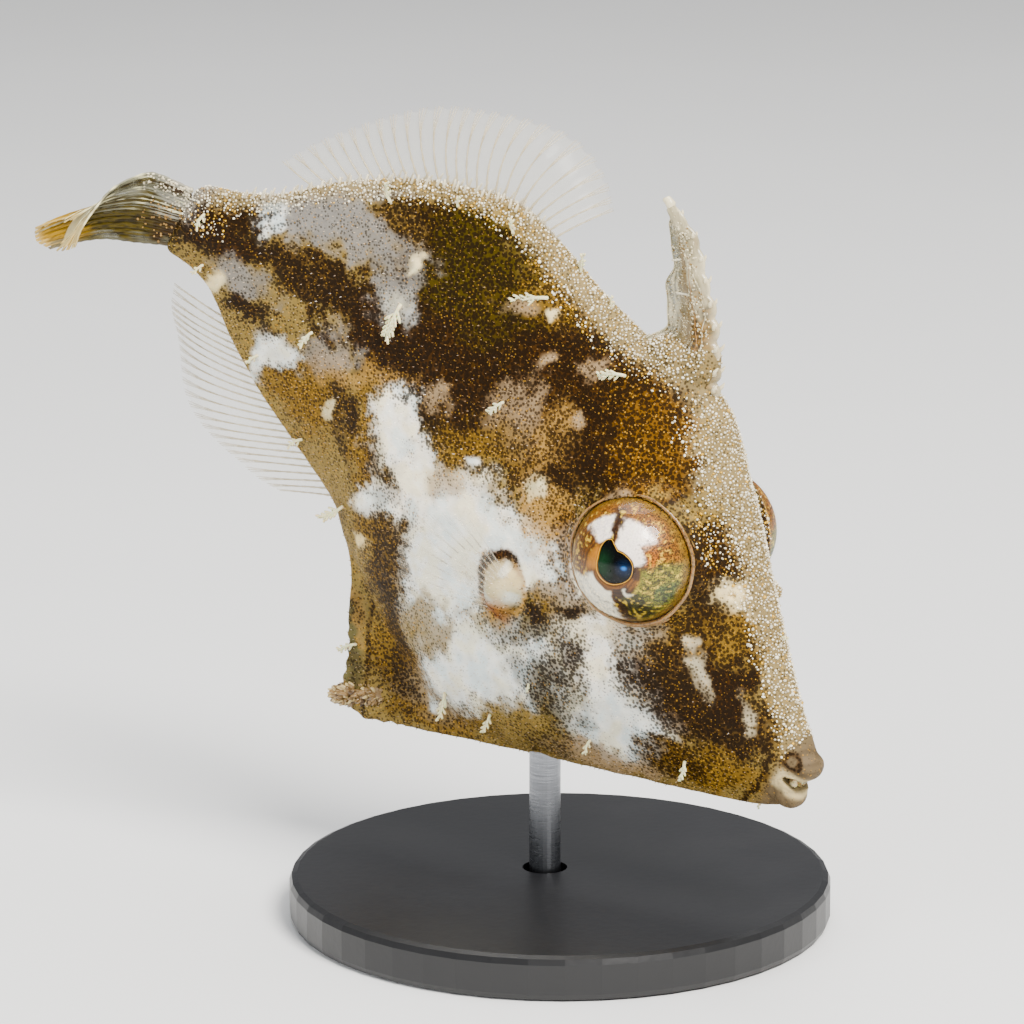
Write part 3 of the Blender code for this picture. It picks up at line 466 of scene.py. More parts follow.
# back, up, half length, half height, tilt, tone, strength
skinMarks = [
    (23.1, 5.4, 5.1, 3.6, -22, "umber", 1), (16.8, 6.9, 5.8, 4.0, -23, "umber", 1),
    (12.2, 8.5, 3.6, 2.6, -45, "umber", 0.8), (19.7, 4.4, 4.8, 2.7, -34, "umber", 0.75),
    (22.6, 2.2, 2.8, 2.2, -28, "umber", 0.8), (26.0, 1.9, 3.3, 1.6, -2, "umber", 1),
    (29.8, 2.1, 2.9, 1.3, -21, "umber", 0.9), (29.1, 6.9, 1.7, 1.1, -48, "umber", 0.7),
    (26.8, 6.8, 2.8, 1.4, 75, "umber", 1), (25.5, 7.9, 2.7, 2.2, -68, "olive", 1),
    (23.1, 7.6, 2.2, 1.9, -34, "olive", 0.8), (21.3, 9.3, 1.6, 1.3, -61, "goldBrown", 0.6),
    (30.2, 4.9, 2.7, 1.0, -25, "greyBlue", 0.9), (27.1, 4.4, 1.6, 1.2, -81, "greyBlue", 0.9),
    (32.1, 4.1, 2.2, 1.2, -38, "greyBlue", 1), (33.5, 3.1, 1.3, 0.6, 68, "pearl", 0.9),
    (31.5, 6.4, 4.2, 0.5, -41, "greyBlue", 0.9), (35.0, 1.5, 2.1, 1.1, -44, "umber", 1),
    (33.9, 0.8, 1.6, 0.7, -30, "umber", 1), (33.0, -0.6, 1.6, 0.9, -8, "greyBlue", 0.9),
    (34.5, -1.6, 0.9, 0.4, -68, "cream", 0.8), (29.6, -0.4, 2.0, 0.8, 4, "sand", 0.8),
    (28.3, -0.6, 1.3, 1.0, 86, "greyBlue", 0.8), (30.9, -3.5, 1.2, 0.7, 80, "pearl", 0.9),
    (32.8, -1.8, 0.9, 0.6, -8, "umber", 1), (30.8, -2.1, 0.8, 0.5, 4, "umber", 0.6),
    (28.0, -3.0, 2.2, 1.6, -36, "goldBrown", 1), (26.1, -2.5, 2.1, 0.6, 62, "umber", 0.6),
    (24.5, -2.0, 2.6, 1.0, 63, "goldBrown", 0.8), (26.2, -4.5, 1.4, 0.7, 65, "sand", 0.7),
    (23.9, -3.9, 1.7, 0.9, 65, "goldBrown", 0.7), (23.6, -0.8, 2.0, 1.1, 76, "white", 1),
    (21.6, -1.7, 1.8, 1.3, -54, "white", 1), (22.8, -4.4, 1.8, 0.7, -43, "white", 0.9),
    (17.9, -1.5, 4.7, 2.2, -24, "white", 1), (14.0, 0.3, 2.5, 1.7, -30, "white", 1),
    (18.5, -5.3, 3.0, 2.5, -78, "pearl", 1), (16.3, -1.8, 3.2, 1.1, -36, "pearl", 0.8),
    (14.0, -6.3, 4.2, 2.0, -47, "pearl", 1), (9.5, -1.3, 2.5, 2.1, 83, "white", 1),
    (8.4, -4.5, 2.7, 1.7, -45, "pearl", 0.9), (6.5, -2.6, 1.3, 1.1, -82, "pearl", 0.8),
    (16.0, -10.2, 2.8, 1.4, -40, "pearl", 0.9), (17.8, -7.6, 1.6, 1.1, -52, "sand", 0.8),
    (7.9, -6.6, 3.1, 0.7, -33, "blush", 0.8), (21.6, -6.5, 1.9, 1.4, 74, "goldBrown", 0.9),
    (20.4, -9.0, 2.3, 1.0, 46, "umber", 0.5), (18.6, -11.1, 2.5, 1.6, 18, "goldBrown", 0.9),
    (18.3, -12.7, 1.4, 1.2, 10, "umber", 0.4), (15.8, -11.9, 3.0, 0.7, -35, "goldBrown", 0.9),
    (22.8, -7.4, 0.5, 0.4, -57, "cream", 0.8), (13.3, -3.1, 2.3, 0.9, -45, "olive", 0.65),
    (12.4, -0.5, 1.4, 1.0, -51, "goldBrown", 0.8), (10.8, -2.5, 1.0, 0.7, 83, "umber", 0.8),
    (12.9, -2.2, 0.5, 0.4, -58, "umber", 0.9), (11.9, -0.6, 0.5, 0.4, -58, "umber", 0.9),
    (10.5, -5.5, 1.9, 1.4, -80, "olive", 0.6), (10.2, -8.1, 1.3, 0.6, -37, "olive", 0.5),
    (15.2, -2.9, 1.3, 1.0, 56, "gold", 0.9), (31.9, -1.6, 0.75, 0.4, -50, "umber", 0.9),
    (25.7, -2.1, 0.85, 0.32, 56, "umber", 0.8), (30.2, -2.6, 1.3, 0.6, -50, "pearl", 0.85),
    (27.9, -0.7, 1.2, 1.0, 56, "blush", 0.5), (25.9, 0.2, 2.2, 0.6, -45, "gold", 0.5),
    (23.4, -5.3, 0.9, 0.6, 0, "pearl", 0.7), (23.2, -3.3, 1.3, 0.8, 56, "umber", 0.45),
    (21.2, -6.1, 1.5, 1.0, 56, "umber", 0.5), (19.6, -9.9, 3.0, 0.7, 50, "umber", 0.55),
    (11.7, -5.5, 1.5, 1.3, 56, "olive", 0.55), (10.9, -3.9, 0.9, 0.6, 20, "umber", 0.45),
    (15.9, 3.0, 2.7, 1.3, 52, "gold", 0.9), (16.4, 2.8, 0.7, 0.6, -88, "cream", 1),
    (19.3, 4.1, 1.5, 1.1, 68, "blush", 0.6), (19.8, -0.6, 1.2, 0.8, -37, "blush", 0.7),
    (18.8, 2.6, 1.4, 0.9, -48, "goldBrown", 0.6), (22.6, 2.2, 1.2, 0.8, -28, "blush", 0.7),
    (20.2, 1.5, 1.5, 0.9, -40, "goldBrown", 0.75), (26.8, 3.9, 1.1, 0.8, -60, "pearl", 0.4),
    (14.6, 5.4, 3.2, 1.2, -40, "umber", 0.9), (13.7, 1.7, 1.8, 0.7, 51, "amber", 0.8),
    (12.9, 7.3, 2.2, 1.5, -40, "amber", 0.85), (15.4, 8.3, 1.8, 1.0, -20, "amber", 0.25),
    (8.0, 5.6, 1.6, 0.8, -50, "amber", 0.8), (5.6, -1.2, 1.6, 1.0, -47, "amber", 0.5),
    (5.5, 3.3, 1.9, 0.9, 43, "goldBrown", 0.9), (6.9, 2.6, 1.7, 1.2, 0, "goldBrown", 0.85),
    (7.3, 2.9, 1.0, 0.7, 20, "umber", 0.5), (9.8, 7.1, 1.6, 0.8, -65, "sand", 0.6),
    (8.2, 5.5, 1.8, 1.4, -59, "umber", 0.7), (7.8, 3.9, 1.4, 0.8, 73, "umber", 0.6),
    (6.7, 4.4, 1.0, 0.6, -6, "cream", 0.9), (6.2, 0.1, 2.9, 2.0, -47, "umber", 0.9),
    (4.1, 1.3, 1.7, 1.1, -51, "umber", 1), (3.1, -0.4, 2.3, 1.0, -42, "umber", 0.9),
    (3.7, -3.0, 3.3, 1.0, -34, "goldBrown", 0.9), (5.3, -3.8, 1.8, 0.9, -40, "umber", 0.6),
    (8.1, -0.3, 1.2, 1.1, -81, "umber", 0.6), (5.7, 1.05, 0.85, 0.5, 56, "chalk", 0.75),
    (6.7, 1.8, 0.34, 0.3, 56, "chalk", 0.7), (3.1, 0.65, 0.7, 0.35, 56, "chalk", 0.6),
    (10.0, 8.2, 2.6, 0.8, 28, "ridge", 0.9), (6.1, 5.2, 3.2, 0.55, 43, "ridge", 1),
    (2.4, 2.0, 2.4, 0.45, 40, "ridge", 1), (27.5, 9.3, 3.2, 0.4, -27, "sand", 0.9),
    (23.3, 10.1, 2.6, 0.4, 3, "sand", 0.9), (19.0, 9.6, 2.2, 0.4, 3, "sand", 0.8),
    (12.7, 10.0, 1.5, 0.5, 44, "sand", 0.8), (19.5, 6.6, 0.4, 0.3, -59, "blush", 0.9),
    (16.6, 5.7, 0.4, 0.3, -56, "blush", 0.9), (17.6, 7.7, 0.8, 0.5, -46, "blush", 0.7),
    (22.0, 7.8, 0.8, 0.4, -44, "blush", 0.7), (20.8, 8.3, 0.3, 0.2, -60, "cream", 0.9),
    (22.7, 2.7, 0.5, 0.4, -64, "blush", 0.9), (19.4, 1.2, 0.4, 0.3, -51, "white", 1),
    (27.2, 6.0, 0.3, 0.3, -71, "cream", 0.9), (12.8, 5.2, 0.6, 0.4, -49, "blush", 0.8),
    (11.6, 6.5, 0.5, 0.3, -48, "sand", 0.8), (26.9, -2.8, 0.4, 0.3, -57, "cream", 0.8),
    (26.9, 0.7, 0.5, 0.4, -52, "greyBlue", 0.6), (8.8, 0.5, 1.7, 0.8, -38, "goldBrown", 0.55),
]
paint = {
    "wobble": 0.75,
    # spacing and weight of each layer of noise
    "drift": [(1.7, 1.0), (0.6, 0.55), (0.25, 0.4)], "fray": [(0.45, 0.10), (0.18, 0.12)],
    "lobe": (15.15, -2.4), "lobeTilt": (0.56, 0.83), "lobeSize": (1.3, 1.12),
    "ridgeStrip": 0.8, "lipBack": 1.3, "mouthUp": -0.85, "nostril": (0.6, 0.02, 0.36),
    # the rear edge of the belly flap, as heights and how far back it lies there, and the flap's top and foot
    "flapEdge": ([-15.0, -13.2, -11.6, -9.9], [20.4, 21.2, 22.1, 22.9]), "flapTop": -9.4, "flapFoot": -15.2,
    "tailRoot": 35.6, "bluish": [0.16, 0.07, 0.0], "creamy": [0.0, 0.05, 0.2],
}


def paintSkin(back, up, side):
    # colour, dot thickness and golden grains of the skin at places in the fish's frame
    farSide = 40.0
    place = np.stack([back, up, np.where(side > 0, farSide, 0.0)], axis=1)

    def layered(seed, layers):
        return sum(weight * fieldNoise(place, spacing, seed + k)
                   for k, (spacing, weight) in enumerate(layers))

    driftBack, driftUp = layered(11, paint["drift"]), layered(21, paint["drift"])
    fray = layered(24, paint["fray"])
    hide = np.tile(toneRows["sand"], (len(back), 1))
    colour = hide[:, :3]

    def lay(share, toneName, dotShare=None):
        tone = toneRows[toneName]
        colour[:] = blended(colour, tone[:3], share)
        hide[:, 3:] = blended(hide[:, 3:], tone[3:], share if dotShare is None else dotShare)

    for markBack, markUp, length, height, tilt, toneName, strength in skinMarks:
        drift = paint["wobble"] * min(1.0, 0.25 + height / 1.6)
        dx = back + driftBack * drift - markBack
        dy = up + driftUp * drift - markUp
        c, s = math.cos(math.radians(tilt)), math.sin(math.radians(tilt))
        reach = np.hypot((dx * c + dy * s) / length, (dy * c - dx * s) / height) + fray
        sparse = skinTones[toneName][1] < 0.3
        dotEdge = (1.15, 0.35) if sparse else (1.75, 0.6)
        lay(softStep(1.4, 0.62 if length > 1.2 else 0.3, reach) * strength, toneName,
            softStep(*dotEdge, reach) * strength)

    # the fleshy root of the side fin, with a rust and umber ring
    fromBack, fromUp = back - paint["lobe"][0], up - paint["lobe"][1]
    run, climb = paint["lobeTilt"]
    rise, aside = fromBack * run + fromUp * climb, fromUp * run - fromBack * climb
    lobe = np.hypot(rise / paint["lobeSize"][0], aside / paint["lobeSize"][1]) + 0.6 * fray
    inLobe = softStep(1.12, 0.86, lobe) * softStep(-1.0, -0.1, rise)
    lay(softStep(1.42, 1.16, lobe) * softStep(1.1, -0.2, aside - 0.3 * rise), "rust")
    lay(inLobe, "lobe")
    lay(inLobe * patches(place, 0.55, 28, 0.0, 0.5) * 0.55, "pearl")
    lay(softStep(0.26, 0.08, np.abs(lobe - 1.14)) * softStep(0.1, 0.7, rise - 0.7 * aside) * 0.85, "umber")
    lay(softStep(0.16, 0.04, np.abs(lobe - 1.04)) * softStep(0.2, 0.8, aside) * 0.7, "gold")

    # the pale strip of the forehead and back, and the flap of the belly
    fromTop = backUp(back) - up + 0.25 * driftUp
    lay(softStep(paint["ridgeStrip"] * 1.4, paint["ridgeStrip"] * 0.3, fromTop) * 0.85, "ridge")
    rearEdge, flapTop, flapFoot = np.interp(up, *paint["flapEdge"]), paint["flapTop"], paint["flapFoot"]
    flap = softStep(1.5, 0.8, rearEdge - back + 0.2 * driftBack)
    flap = flap * softStep(flapTop, flapTop - 1, up + 0.3 * driftUp) * softStep(flapFoot, flapFoot + 1, up)
    seam = softStep(0.22, 0.05, np.abs(rearEdge - back - 1.45 + 0.15 * driftBack))
    lay(flap * 0.9, "flap")
    lay(flap * patches(place, 0.8, 26, 0.0, 0.45) * 0.6, "gold")
    lay(flap * patches(place, 0.65, 27, 0.0, 0.5) * 0.4, "umber")
    lay(seam * softStep(flapTop, flapTop - 1, up) * 0.6, "umber")

    # lips, with painted shade in the fold behind them and in their wrinkles, and a painted highlight along
    # the mouth gap
    lips = softStep(paint["lipBack"], 0.7, back + 0.15 * driftBack)
    lipFoldShade = softStep(0.2, 0.04, np.abs(back + 0.3 * driftBack - paint["lipBack"])) * softStep(0.2, -0.5, up)
    mouthGap = np.abs(up - paint["mouthUp"] + 0.12 * driftUp)
    lay(lips * 0.9, "lip")
    # painted shade along the fold behind the lips
    lay(lipFoldShade * 0.7, "umber")
    # painted highlight: cream along the lip edges by the mouth gap
    lay(lips * softStep(0.62, 0.34, mouthGap) * softStep(1.1, 0.6, back) * 0.55, "cream")
    # painted shade: dark lines for the wrinkles round the mouth
    wrinkleShade = 0.5 + 0.5 * np.sin(np.arctan2(up - paint["mouthUp"], back - 0.9) * 17 + 4 * driftBack)
    colour *= (1 - 0.3 * lips * wrinkleShade ** 2)[:, None]

    # tail root, nostril ring, and painted shade in the mouth gap
    rootward = softStep(paint["tailRoot"], paint["tailRoot"] + 1.4, back + 0.3 * driftBack)
    lay(rootward * softStep(0.2, 0.9, up + 0.3 * driftUp) * 0.85, "greyBlue")
    lay(softStep(36.2, 37.1, back + 0.2 * driftBack) * softStep(0.6, -0.1, up) * 0.6, "olive")
    ringBack, ringUp, ringSize = paint["nostril"]
    fromRing = np.hypot(back - ringBack, (up - ringUp) * 1.2) + 0.5 * fray - ringSize
    ringMark = softStep(0.2, 0.03, np.abs(fromRing))
    lay(ringMark * softStep(1.2, 0.9, back) * softStep(-0.6, -0.2, up) * 0.8, "umber")
    # painted shade: the skin inside the mouth gap darkened
    mouth = softStep(0.42, 0.18, np.abs(up - paint["mouthUp"]))
    mouth = mouth * softStep(0.75, 0.45, np.abs(side)) * softStep(1.6, 1.2, back)
    colour *= (1 - 0.65 * mouth)[:, None]

    # the white fields drift from bluish to cream
    pale = softStep(0.14, 0.3, colour[:, 2])
    cloud = fieldNoise(place, 1.1, 34) + 0.5 * fieldNoise(place, 0.4, 35)
    for sign, taken in ((1, paint["bluish"]), (-1, paint["creamy"])):
        colour *= 1 - (pale * softStep(0.0, 0.6, sign * cloud))[:, None] * np.array(taken)
    grain = 1 + 0.10 * fieldNoise(place, 0.35, 31) + 0.08 * fieldNoise(place, 0.9, 32)
    return colour * grain[:, None], hide[:, 3:]


def bakePlace(back, up, side):
    # where a point of the skin lies on the skin unrolled from its back edge, for the coat's bake map
    share = np.clip((up - bellyUp(back)) / (backUp(back) - bellyUp(back)), 0, 1)
    across = 0.5 + np.where(side >= 0, 1, -1) * (1 - share) * 0.48
    return np.stack([0.02 + 0.96 * np.clip((back + 0.5) / 38.5, 0, 1), across], axis=-1)


# Skin: one loft of the whole body, swollen round the eyes, lips and nostrils, then cut and refined
# Lips, nose and lobes are back, up and the half sizes along back, side and up.
skinPlan = {
    "stations": 160, "ringSteps": 64, "grain": 0.085,
    "upperLip": (0.22, -0.06, 0.68, 0.86, 0.6), "lowerLip": (0.14, -1.68, 0.7, 0.84, 0.66),
    "lipCorner": (1.0, -1.0, 0.5, 0.34, 0.6), "cornerSide": 0.62, "mouth": (-0.75, -0.86, 1.82, 1.25, 0.33),
    "nose": (6.5, 4.3, 0.62, 0.26, 0.36), "nostrils": (-0.3, 0.28), "nostrilRadii": (0.15, 0.35, 0.15),
    "gillTop": (14.35, -0.3), "gillFoot": (13.2, -2.6), "gillBow": (0.25, 0.12), "gillWidth": 0.22,
    "pectoralLobe": (15.05, -2.5, 1.0, 0.8, 1.3),
    "orbitRadius": 3.4, "orbitHeight": 1.25, "socketRadius": 2.8,
    "spineFoot": [(15.2, 9.7, 1.6, 0.9, 1.15), (14.3, 10.2, 0.95, 0.8, 1.6)],
    "relief": 0.05, "fleckRelief": 0.09, "flapRidge": 0.045, "flapRibs": 46, "ribsFrom": (17.0, -10.4),
    "settle": 0.02,
}
eyePlan = {
    "back": 10.85, "up": 3.25, "side": 2.8, "forwardTilt": math.radians(10), "upwardTilt": math.radians(7),
    "corneaRadius": 2.86, "irisRadius": 2.77, "irisEdge": 0.992, "rimRadius": 2.82, "rimThickness": 0.075,
    # the folds of the lid: how far outside the rim, share of its thickness, how far out
    "rimOut": 0.64, "rimFolds": ((0.0, 1.0, 0.0), (0.09, 0.95, -0.17)),
    "columns": 300, "pupilCentre": (0.08, 0.24), "ringRadius": 0.014,
    "pupilShape": [(-180, 0.82), (-148, 0.86), (-111, 0.87), (-74, 0.84), (-39, 0.87), (0, 0.82), (42, 0.67),
                   (75, 0.62), (91, 0.80), (103, 1.06), (113, 1.08), (133, 0.97), (150, 0.86), (167, 0.80),
                   (180, 0.82)],
}


def eyeMatrix(hand):
    forward, upward = Vector((cosPitch, 0, -sinPitch)), Vector((sinPitch, 0, cosPitch))
    out = Vector((0, hand, 0)) + forward * math.tan(eyePlan["forwardTilt"])
    out = out + upward * math.tan(eyePlan["upwardTilt"])
    turn = out.normalized().to_track_quat("Z", "Y").to_matrix().to_4x4()
    return Matrix.Translation(Vector(inWorld(eyePlan["back"], eyePlan["up"], hand * eyePlan["side"]))) @ turn


def moved(points, matrix):
    m = np.array(matrix)
    return np.asarray(points, float) @ m[:3, :3].T + m[:3, 3]


def buildLoft():
    inset, steps = bodyPlan["inset"], skinPlan["ringSteps"]
    stations = np.concatenate([np.linspace(-0.3 + inset, 2.0, 24)[:-1],
                               np.linspace(2.0, bodyPlan["length"], skinPlan["stations"])])
    turn = np.arange(2 * steps) * math.pi / steps
    rings = []
    for back in stations:
        top, bottom = backUp(back) - inset, bellyUp(back) + inset
        up = bottom + (top - bottom) * (1 - np.cos(turn)) / 2
        narrow = math.sqrt(max(0.03, 1 - max(0.0, (back - 36.1) / 1.12) ** 2))  # the tail root rounds off
        up = (top + bottom) / 2 + (up - (top + bottom) / 2) * (0.75 + 0.25 * narrow)
        width = skinHalfWidth(np.full_like(up, back), up) - inset * np.abs(np.sin(turn))
        width = np.maximum(width, 0.0) * narrow
        side = np.where(np.arange(2 * steps) < steps, width, -width)
        side[[0, steps]] = 0.0
        rings.append(inWorld(back, up, side))
    points = np.concatenate(rings + [[rings[0].mean(0)], [rings[-1].mean(0)]])
    return outward(meshOf("loft", points, ringFaces(len(rings), 2 * steps, split=False)))


def gillMesh(hand):
    # a thin wedge that opens the gill slit ahead of the side fin
    top, foot = np.array(skinPlan["gillTop"]), np.array(skinPlan["gillFoot"])
    points = []
    for share in np.linspace(0, 1, 9):
        spot = top + (foot - top) * share + np.array(skinPlan["gillBow"]) * math.sin(math.pi * share)
        points.append((*spot, hand * float(skinHalfWidth(*spot))))
    radii = skinPlan["gillWidth"] * np.sin(np.linspace(0.25, math.pi - 0.25, 9))
    return outward(meshOf("gill", *tube(inWorld(*np.array(points).T), radii, 10)))


def skinForms():
    # the forms that swell the loft, and those that are cut from it
    added, cut = [buildLoft()], []
    for back, up, *radii in (skinPlan["upperLip"], skinPlan["lowerLip"], *skinPlan["spineFoot"]):
        added.append(ellipsoid(back, up, 0, radii))
    back, up, *radii = skinPlan["mouth"]
    cut.append(ellipsoid(back, up, 0, radii))
    noseBack, noseUp, *noseRadii = skinPlan["nose"]
    lobeBack, lobeUp, *lobeRadii = skinPlan["pectoralLobe"]
    cornerBack, cornerUp, *cornerRadii = skinPlan["lipCorner"]
    noseSide, lobeSide = float(skinHalfWidth(noseBack, noseUp)), float(skinHalfWidth(lobeBack, lobeUp))
    for hand in (1, -1):
        matrix = eyeMatrix(hand)
        added.append(ball(skinPlan["orbitRadius"], skinPlan["orbitHeight"], matrix))
        added.append(ellipsoid(noseBack, noseUp, hand * (noseSide - 0.12), noseRadii))
        added.append(ellipsoid(cornerBack, cornerUp, hand * skinPlan["cornerSide"], cornerRadii))
        added.append(ellipsoid(lobeBack, lobeUp, hand * (lobeSide - 0.2), lobeRadii))
        cut.append(ball(skinPlan["socketRadius"], skinPlan["socketRadius"], matrix))
        cut.append(gillMesh(hand))
        for step in skinPlan["nostrils"]:
            side = hand * (noseSide + 0.2)
            cut.append(ellipsoid(noseBack + step, noseUp, side, skinPlan["nostrilRadii"], 16, 10))
    return added, cut


def fuse(made, name):
    step = made.modifiers.new(name, "REMESH")
    step.mode, step.voxel_size = "VOXEL", skinPlan["grain"]


def fusedSkin():
    # one closed mesh of all the forms, with the mouth, sockets, nostrils and gill slits cut in
    added, cut = skinForms()
    shape = bmesh.new()
    for mesh in added:
        shape.from_mesh(mesh)
    made = addObject("skinShape", meshFrom(shape, "skinShape"))
    fuse(made, "join")
    applied(made)
    tools = bpy.data.collections.new("cutters")
    bpy.context.scene.collection.children.link(tools)
    for mesh in cut:
        tools.objects.link(bpy.data.objects.new("cutter", outward(mesh)))
    boolean = made.modifiers.new("cut", "BOOLEAN")
    boolean.operation, boolean.solver, boolean.operand_type = "DIFFERENCE", "MANIFOLD", "COLLECTION"
    boolean.collection = tools
    applied(made)
    for cutter in list(tools.objects):
        bpy.data.objects.remove(cutter)
    bpy.data.collections.remove(tools)
    fuse(made, "even")
    soften = made.modifiers.new("soften", "SMOOTH")
    soften.factor, soften.iterations = 0.5, 4
    applied(made)
    mesh = made.data
    bpy.data.objects.remove(made)
    return mesh


def buildSkin():
    mesh = fusedSkin()
    count = len(mesh.vertices)
    points, normals = np.empty(count * 3, np.float32), np.empty(count * 3, np.float32)
    mesh.vertices.foreach_get("co", points)
    mesh.vertex_normals.foreach_get("vector", normals)
    points, normals = points.reshape(-1, 3).astype(float), normals.reshape(-1, 3).astype(float)
    back, up, side = inFish(points)
    # low relief: soft lumps of the hide, the raised flecks, and the ribs of the belly flap
    lift = skinPlan["relief"] * (0.6 * fieldNoise(points, 1.5, 41) + 0.4 * fieldNoise(points, 0.45, 42))
    for markBack, markUp, length, _height, _tilt, toneName, _strength in skinMarks:
        if length < 0.9 and toneName in ("blush", "cream", "white"):
            reach = np.hypot(back - markBack, up - markUp) / max(length, 0.35)
            lift += skinPlan["fleckRelief"] * softStep(1.2, 0.0, reach)
    fanBack, fanUp = skinPlan["ribsFrom"]
    fan = np.arctan2(up - fanUp, back - fanBack)
    inFlap = softStep(-11.4, -12.4, up) * softStep(16.5, 18.0, back)
    lift += skinPlan["flapRidge"] * inFlap * np.sin(fan * skinPlan["flapRibs"])
    points += normals * (lift - skinPlan["settle"])[:, None]
    mesh.vertices.foreach_set("co", points.astype(np.float32).ravel())
    colour, amounts = paintSkin(back, up, side)
    setTone(mesh, "skinColour", np.column_stack([colour, np.ones(count)]))
    setTone(mesh, "skinDots", np.column_stack([amounts, np.zeros(count), np.ones(count)]))
    return addPiece("fishSkin", mesh, skinMaterial(), "skin", "head", "torso", "tail_stalk", "belly_flap")


skinFinish = {
    "darkDot": (0.09, 0.05, 0.01), "goldGrain": (0.76, 0.55, 0.14), "veil": (0.90, 0.90, 0.87),
    "dotSize": 0.00015, "grainSize": 0.0002, "roughness": 0.55,
    "shader": {"Specular IOR Level": 0.08, "Subsurface Weight": 0.02, "Subsurface Radius": (1.0, 0.55, 0.35),
               "Subsurface Scale": 0.0005},
}


def skinMaterial():
    made, tree, shader = newMaterial("mottledSkin", skinFinish["shader"])
    place = placeOf(tree)
    split = node(tree, "SeparateColor")
    fill(tree, split.inputs[0], node(tree, "Attribute", attribute_name="skinDots").outputs["Color"])
    dots, grains = split.outputs[0], split.outputs[1]
    painted = node(tree, "Attribute", attribute_name="skinColour").outputs["Color"]
    wander, broad, fine = (noise(tree, place, scale, detail)
                           for scale, detail in ((1400.0, 3.0), (620.0, 2.0), (9000.0, 2.0)))
    # dark dots that run together where they lie thick
    radius = maths(tree, "MULTIPLY_ADD", dots, 0.68, scaled(tree, wander, 0.34, -0.17))
    dark, darkDistance = spots(tree, place, 1 / skinFinish["dotSize"], radius, 5.0)
    dark = times(tree, dark, maths(tree, "POWER", dots, 0.35))
    painted = mixColour(tree, times(tree, dark, 0.92), painted, toned(skinFinish["darkDot"]))
    # golden grains over them
    grainRadius = maths(tree, "MULTIPLY_ADD", grains, 0.17, scaled(tree, broad, 0.3, -0.09))
    gold, _distance = spots(tree, place, 1 / skinFinish["grainSize"], grainRadius)
    goldShare = times(tree, gold, times(tree, grains, 0.9))
    painted = mixColour(tree, goldShare, painted, toned(skinFinish["goldGrain"]))
    # a thin uneven veil
    veil = scaled(tree, wander, 1.6, -0.45, clamp=True)
    veiled = mixColour(tree, 1.0, painted, np.array(skinFinish["veil"]), "MULTIPLY")
    painted = mixColour(tree, veil, painted, veiled)
    rough = scaled(tree, fine, 0.30, skinFinish["roughness"] - 0.15)
    height = maths(tree, "MULTIPLY_ADD", gold, 0.8, times(tree, darkDistance, 0.5))
    height = maths(tree, "MULTIPLY_ADD", fine, 0.5, height)
    wireUp(tree, shader, painted, rough, height, 0.55, 0.00005)
    return made


skin = buildSkin()
print("skin:", len(skin.data.polygons), "faces")


# Spinules: the velvet of tiny bristles over the whole hide, and the bead-like granules along the ridges
coatPlan = {
    "spinules": {"tries": 70000, "spacing": 0.25, "placeSeed": 5, "formSeed": 6, "from": 1.2, "to": 37.0,
                 "length": 0.12, "radius": 0.036, "lean": 0.45, "sunk": 0.03,
                 "pale": (0.97, 0.93, 0.84), "gold": (0.84, 0.60, 0.22)},
    "granules": {"tries": 190000, "spacing": 0.112, "placeSeed": 7, "formSeed": 8, "from": 0.9, "to": 37.3,
                 "radius": 0.053, "pale": (1.0, 0.96, 0.84), "gold": (0.86, 0.66, 0.08)},
    "pegs": {"from": 24.0, "to": 35.2, "step": 0.32, "tone": (0.90, 0.85, 0.72)},
    "eyeMargin": 0.28,
}
coatFinish = {"roughness": 0.38, "grain": 9000.0, "depth": 0.00002, "strength": 0.4, "tint": 0.15,
              "shader": {"Coat Weight": 0.2, "Coat Roughness": 0.12}}
coatMaterial = tonedMaterial("spinuleCoat", "coatTone", coatFinish)


def ridgeShare(back, up):
    # 1 on the granular strips of the forehead and the back edge, 0 on the flanks
    fromTop = backUp(back) - up
    wide = 0.7 * softStep(5.5, 9.0, back)
    forehead = softStep(14.0, 11.5, back) * softStep(1.35 + wide, 0.45 + 0.5 * wide, fromTop)
    dorsal = softStep(13.5, 15.5, back) * softStep(1.5, 0.4, fromTop)
    root = softStep(34.6, 36.2, back) * softStep(0.2, 1.0, up) * 0.75
    return np.maximum(np.maximum(forehead, dorsal), root)


def triesOnSkin(tries, rng):
    # random points of the skin, in millimetres, with their normals
    mesh = skin.data
    mesh.calc_loop_triangles()
    tris = np.empty(len(mesh.loop_triangles) * 3, np.int32)
    mesh.loop_triangles.foreach_get("vertices", tris)
    tris = tris.reshape(-1, 3)
    co = np.empty(len(mesh.vertices) * 3, np.float32)
    mesh.vertices.foreach_get("co", co)
    co = co.reshape(-1, 3).astype(float) * 1000
    a, b, c = co[tris[:, 0]], co[tris[:, 1]], co[tris[:, 2]]
    cross = np.cross(b - a, c - a)
    area = np.linalg.norm(cross, axis=1)
    pick = rng.choice(len(tris), tries, p=area / area.sum())
    s, t = rng.random(tries), rng.random(tries)
    flip = s + t > 1
    s[flip], t[flip] = 1 - s[flip], 1 - t[flip]
    points = a[pick] + (b - a)[pick] * s[:, None] + (c - a)[pick] * t[:, None]
    return points, cross[pick] / area[pick][:, None]


def spread(points, spacing):
    # which of the points stay, so that no two are nearer than the spacing
    cells, kept = {}, []
    for i, p in enumerate(points):
        cell = tuple((p // spacing).astype(int))
        near = (cells.get((cell[0] + dx, cell[1] + dy, cell[2] + dz), ())
                for dx in (-1, 0, 1) for dy in (-1, 0, 1) for dz in (-1, 0, 1))
        if any(((points[j] - p) ** 2).sum() < spacing ** 2 for group in near for j in group):
            continue
        cells.setdefault(cell, []).append(i)
        kept.append(i)
    return kept


